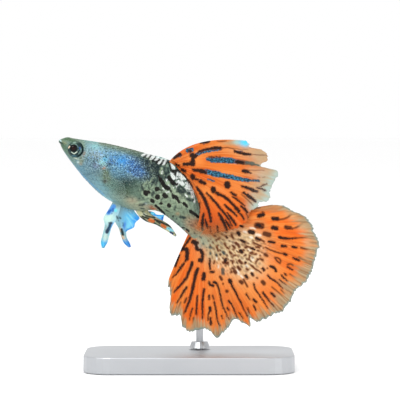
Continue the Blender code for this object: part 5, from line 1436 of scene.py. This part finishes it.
ROD_FIN_MARKS = (
    ("#c4c69c", 0.8, 0.9, [(2.0, 136.6, 212.6, 141, 214), (0.9, 163.6, 228.8, 167, 230.6, 169.4, 231.4)]),
    ("#b09a7c", 0.8, 0.6, [(0.7, 156, 218.6, 161.4, 220.7)]),
    ("#c8642c", 0.97, 0.6, [(1.9, 149.8, 219.8, 153.2, 221.2), (1.6, 162.4, 225, 164.8, 227)]),
    ("#dc8a52", 0.7, 0.5, [(0.5, 149.4, 219, 152.8, 219.6), (0.5, 162.6, 224.6)]),
    ("#8cd6e4", 0.95, 0.7, [(1.5, 168, 228.4, 172, 229.6), (0.9, 170, 230.6, 174, 230.8)]),
    ("#3f98a4", 0.7, 0.5, [(0.5, 168.2, 228.2, 169.4, 228.6)]),
    ("#b07a58", 0.9, 0.5, [(0.6, 171.2, 227, 172.8, 228.8)]),
    ("#101c1c", 0.95, 0.6, [
        (1.1, 140.6, 217.4, 143.4, 219, 147, 221.8), (0.9, 142.4, 216.4, 146, 217.6, 148.8, 218.2),
        (0.8, 144, 214.4, 147.4, 216), (0.7, 147.8, 216.2, 150.6, 217), (0.8, 150.6, 216.8, 154.6, 217.8),
        (1.0, 155, 219.7, 158.6, 221, 161, 222), (0.8, 156.8, 221.4, 160, 223),
        (1.0, 161.4, 222.2, 165, 224, 169, 225.2, 170.8, 227), (0.9, 160.8, 227.6, 162.6, 229.4, 164, 230.2),
    ]),
    ("#22403a", 0.9, 0.7, [(1.0, 154.6, 223, 157.4, 224.8, 159.6, 226.2), (0.7, 142.4, 211.6, 144.6, 213.4)]),
    ("#7cc4e4", 0.8, 0.4, [(0.4, 141.2, 218.8, 144.4, 221, 147.4, 222.4)]),
    ("#cfd8c4", 0.7, 0.4, [(0.3, 141.6, 214.2, 144.8, 215.6), (0.3, 143.6, 212.6, 147, 214.4)]),
    ("#15305c", 0.95, 0.6, [(1.0, 170.6, 232, 172.8, 234.4)]),
    ("#e4dca8", 0.9, 0.5, [(0.6, 173.8, 234.8)]),
    ("#a4c8e4", 0.9, 0.5, [(0.6, 175.2, 236.2)]),
)


def rod_fin_paint(surface):
    """Tan rod barred with black and orange, cyan near its tip."""
    x, y = waver(*photo_place(surface), 0.6, 51)
    colour = np.broadcast_to(linear("#a3a480"), surface.shape).copy()
    colour = tint(colour, "#6f7a66", 0.7 * ease(0.4, 0.8, mottle(x, y, 1.6, 53)))
    for code, strength, soft, places in ROD_FIN_MARKS:
        colour = tint(colour, code, strength * inside(mark_gap(x, y, places), soft))
    return opaque(colour)


def make_gonopodium(material):
    """A rod of lens-shaped section laid along the keel, and the thin web of rays behind it."""
    across = np.linspace(0, 1, 41)
    along = np.linspace(0, 1, 121)
    surface = strip_surface(ROD_FIN_FRONT, ROD_FIN_REAR, across, along)
    start, end = ROD_FIN_ROOT
    root = body_surface(start + (end - start) * across, math.pi, swell=-0.2)
    surface = laid_on(surface, root, along)
    lens = 0.3 + 0.7 * np.sqrt(1 - (2 * across - 1) ** 2)
    thickness = lens[:, None] * smooth(ROD_FIN_THICKNESS, along)[None, :]
    joints = 0.5 + 0.5 * np.sin(2 * math.pi * along * 34)[None, :]
    thickness = thickness * (1 - 0.08 * joints * ease(0.3, 0.5, along)[None, :])
    shape = sheet(surface, thickness)
    paint = rod_fin_paint(surface).reshape(-1, 4)
    none = np.full(len(shape[0]), FAR)
    rays = np.tile(np.broadcast_to((across * 8)[:, None], thickness.shape).reshape(-1), 2)
    add_piece(
        "gonopodium_rod", shape, material, ("gonopodium",),
        np.concatenate([paint, paint]), {"black": none, "blue": none, "rays": rays},
    )
    across = np.linspace(0, 1, 61)
    along = np.linspace(0, 1, 31)
    web = strip_surface(WEB_SUNK_EDGE, WEB_FREE_EDGE, along, across)
    x, y = photo_place(web)
    colour = np.broadcast_to(linear("#41b4fa"), web.shape).copy()
    lines = bell(((across[None, :] * 9) % 1.0) - 0.5, 0.16) * np.ones((len(along), 1))
    colour = tint(colour, "#8fe2fd", 0.4 * lines)
    for code, strength, places in WEB_MARKS:
        colour = tint(colour, code, strength * inside(mark_gap(x, y, places), 0.7))
    add_fin(
        "gonopodium_web", web, lines, 0.07, 0.03, opaque(colour, 0.92), material, (),
        lines * 0,
    )


# Stage, camera and light

FLOOR_Z = -0.0001
CAMERA_LENS = 200.0
CAMERA_SENSOR = 36.0
CAMERA_ELEVATION = 2.0
PHOTO_SIDE = 400
PHOTO_CENTRE = (200.0, 200.0)


def make_stage():
    """A flat pale sheet under the model, which reaches far enough to have no edge in any view."""
    reach = 6.0
    x, y = np.meshgrid([-reach, reach], [-reach, reach], indexing="ij")
    points = np.stack([x, y, np.full_like(x, FLOOR_Z)], axis=-1)
    mesh = bpy.data.meshes.new("floor")
    mesh.from_pydata(points.reshape(-1, 3).tolist(), [], grid_quads(2, 2).tolist())
    material, tree = new_material("matte_backdrop_paper")
    place = node(tree, "ShaderNodeTexCoord").outputs["Object"]
    grain = node(
        tree, "ShaderNodeTexNoise", {"Vector": place, "Scale": per_millimetre(0.6), "Detail": 2.0}
    )
    colour = node(
        tree, "ShaderNodeMix",
        {"Factor": grain.outputs[0], "A": colour4("#fdfdfd"), "B": colour4("#ffffff")},
        data_type="RGBA",
    )
    finish_material(tree, Base_Color=colour.outputs["Result"], Roughness=0.9, Specular_IOR_Level=0.1)
    mesh.materials.append(material)
    floor = bpy.data.objects.new("floor", mesh)
    bpy.context.scene.collection.objects.link(floor)


def aim(obj, target):
    direction = Vector(target) - obj.location
    obj.rotation_euler = direction.to_track_quat("-Z", "Y").to_euler()


def make_camera():
    """Looks along +Y from the photograph's side, so that a pixel of the photo is PIXEL millimetres."""
    target_x = (PHOTO_CENTRE[0] - SNOUT_PIXEL[0]) * PIXEL + FISH_PLACE[0]
    target_z = (SNOUT_PIXEL[1] - PHOTO_CENTRE[1]) * PIXEL + FISH_PLACE[2]
    distance = PHOTO_SIDE * PIXEL * CAMERA_LENS / CAMERA_SENSOR
    rise = math.radians(CAMERA_ELEVATION)
    data = bpy.data.cameras.new("camera")
    data.lens = CAMERA_LENS
    data.sensor_width = CAMERA_SENSOR
    data.clip_start = 0.01
    data.clip_end = 10.0
    camera = bpy.data.objects.new("camera", data)
    camera.location = (
        target_x * MM,
        -distance * math.cos(rise) * MM,
        (target_z + distance * math.sin(rise)) * MM,
    )
    aim(camera, (target_x * MM, 0.0, target_z * MM))
    bpy.context.scene.collection.objects.link(camera)
    bpy.context.scene.camera = camera


def make_light(name, place, size, power, target=(0.0, 0.0, 0.03)):
    data = bpy.data.lights.new(name, "AREA")
    data.shape = "DISK"
    data.size = size
    data.energy = power
    light = bpy.data.objects.new(name, data)
    light.location = place
    aim(light, target)
    bpy.context.scene.collection.objects.link(light)


def make_studio():
    """Soft white surroundings like a light tent, a broad key light from the upper left and a fill."""
    world = bpy.data.worlds.new("studio")
    world.use_nodes = True
    world.node_tree.nodes["Background"].inputs["Color"].default_value = (1.0, 1.0, 1.0, 1.0)
    world.node_tree.nodes["Background"].inputs["Strength"].default_value = 1.0
    bpy.context.scene.world = world
    make_light("key", (-0.32, -0.60, 0.52), 0.50, 3.2)
    make_light("fill", (0.56, -0.56, 0.20), 0.48, 0.6)
    make_light("rim", (0.05, 0.14, 0.30), 0.16, 0.18)
    bpy.context.scene.view_settings.view_transform = "Standard"


def main():
    skin = make_skin_material()
    fin = make_fin_material()
    eye = make_eye_material()
    make_skin(skin)
    make_scales(skin)
    for side, word in ((-1, "left"), (1, "right")):
        make_eye(side, word, eye)
        make_pectoral_fin(side, word, fin)
    make_tail(fin)
    make_back_fin(fin)
    make_belly_fin(-1, "left", LEFT_BELLY_FIN, fin)
    make_belly_fin(1, "right", RIGHT_BELLY_FIN, fin)
    make_gonopodium(fin)
    for name, material in (("stand_base", make_plate_material()), ("stand_rod", make_rod_material())):
        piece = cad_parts[name]
        piece.data.materials.clear()
        piece.data.materials.append(material)
    make_stage()
    make_camera()
    make_studio()


main()
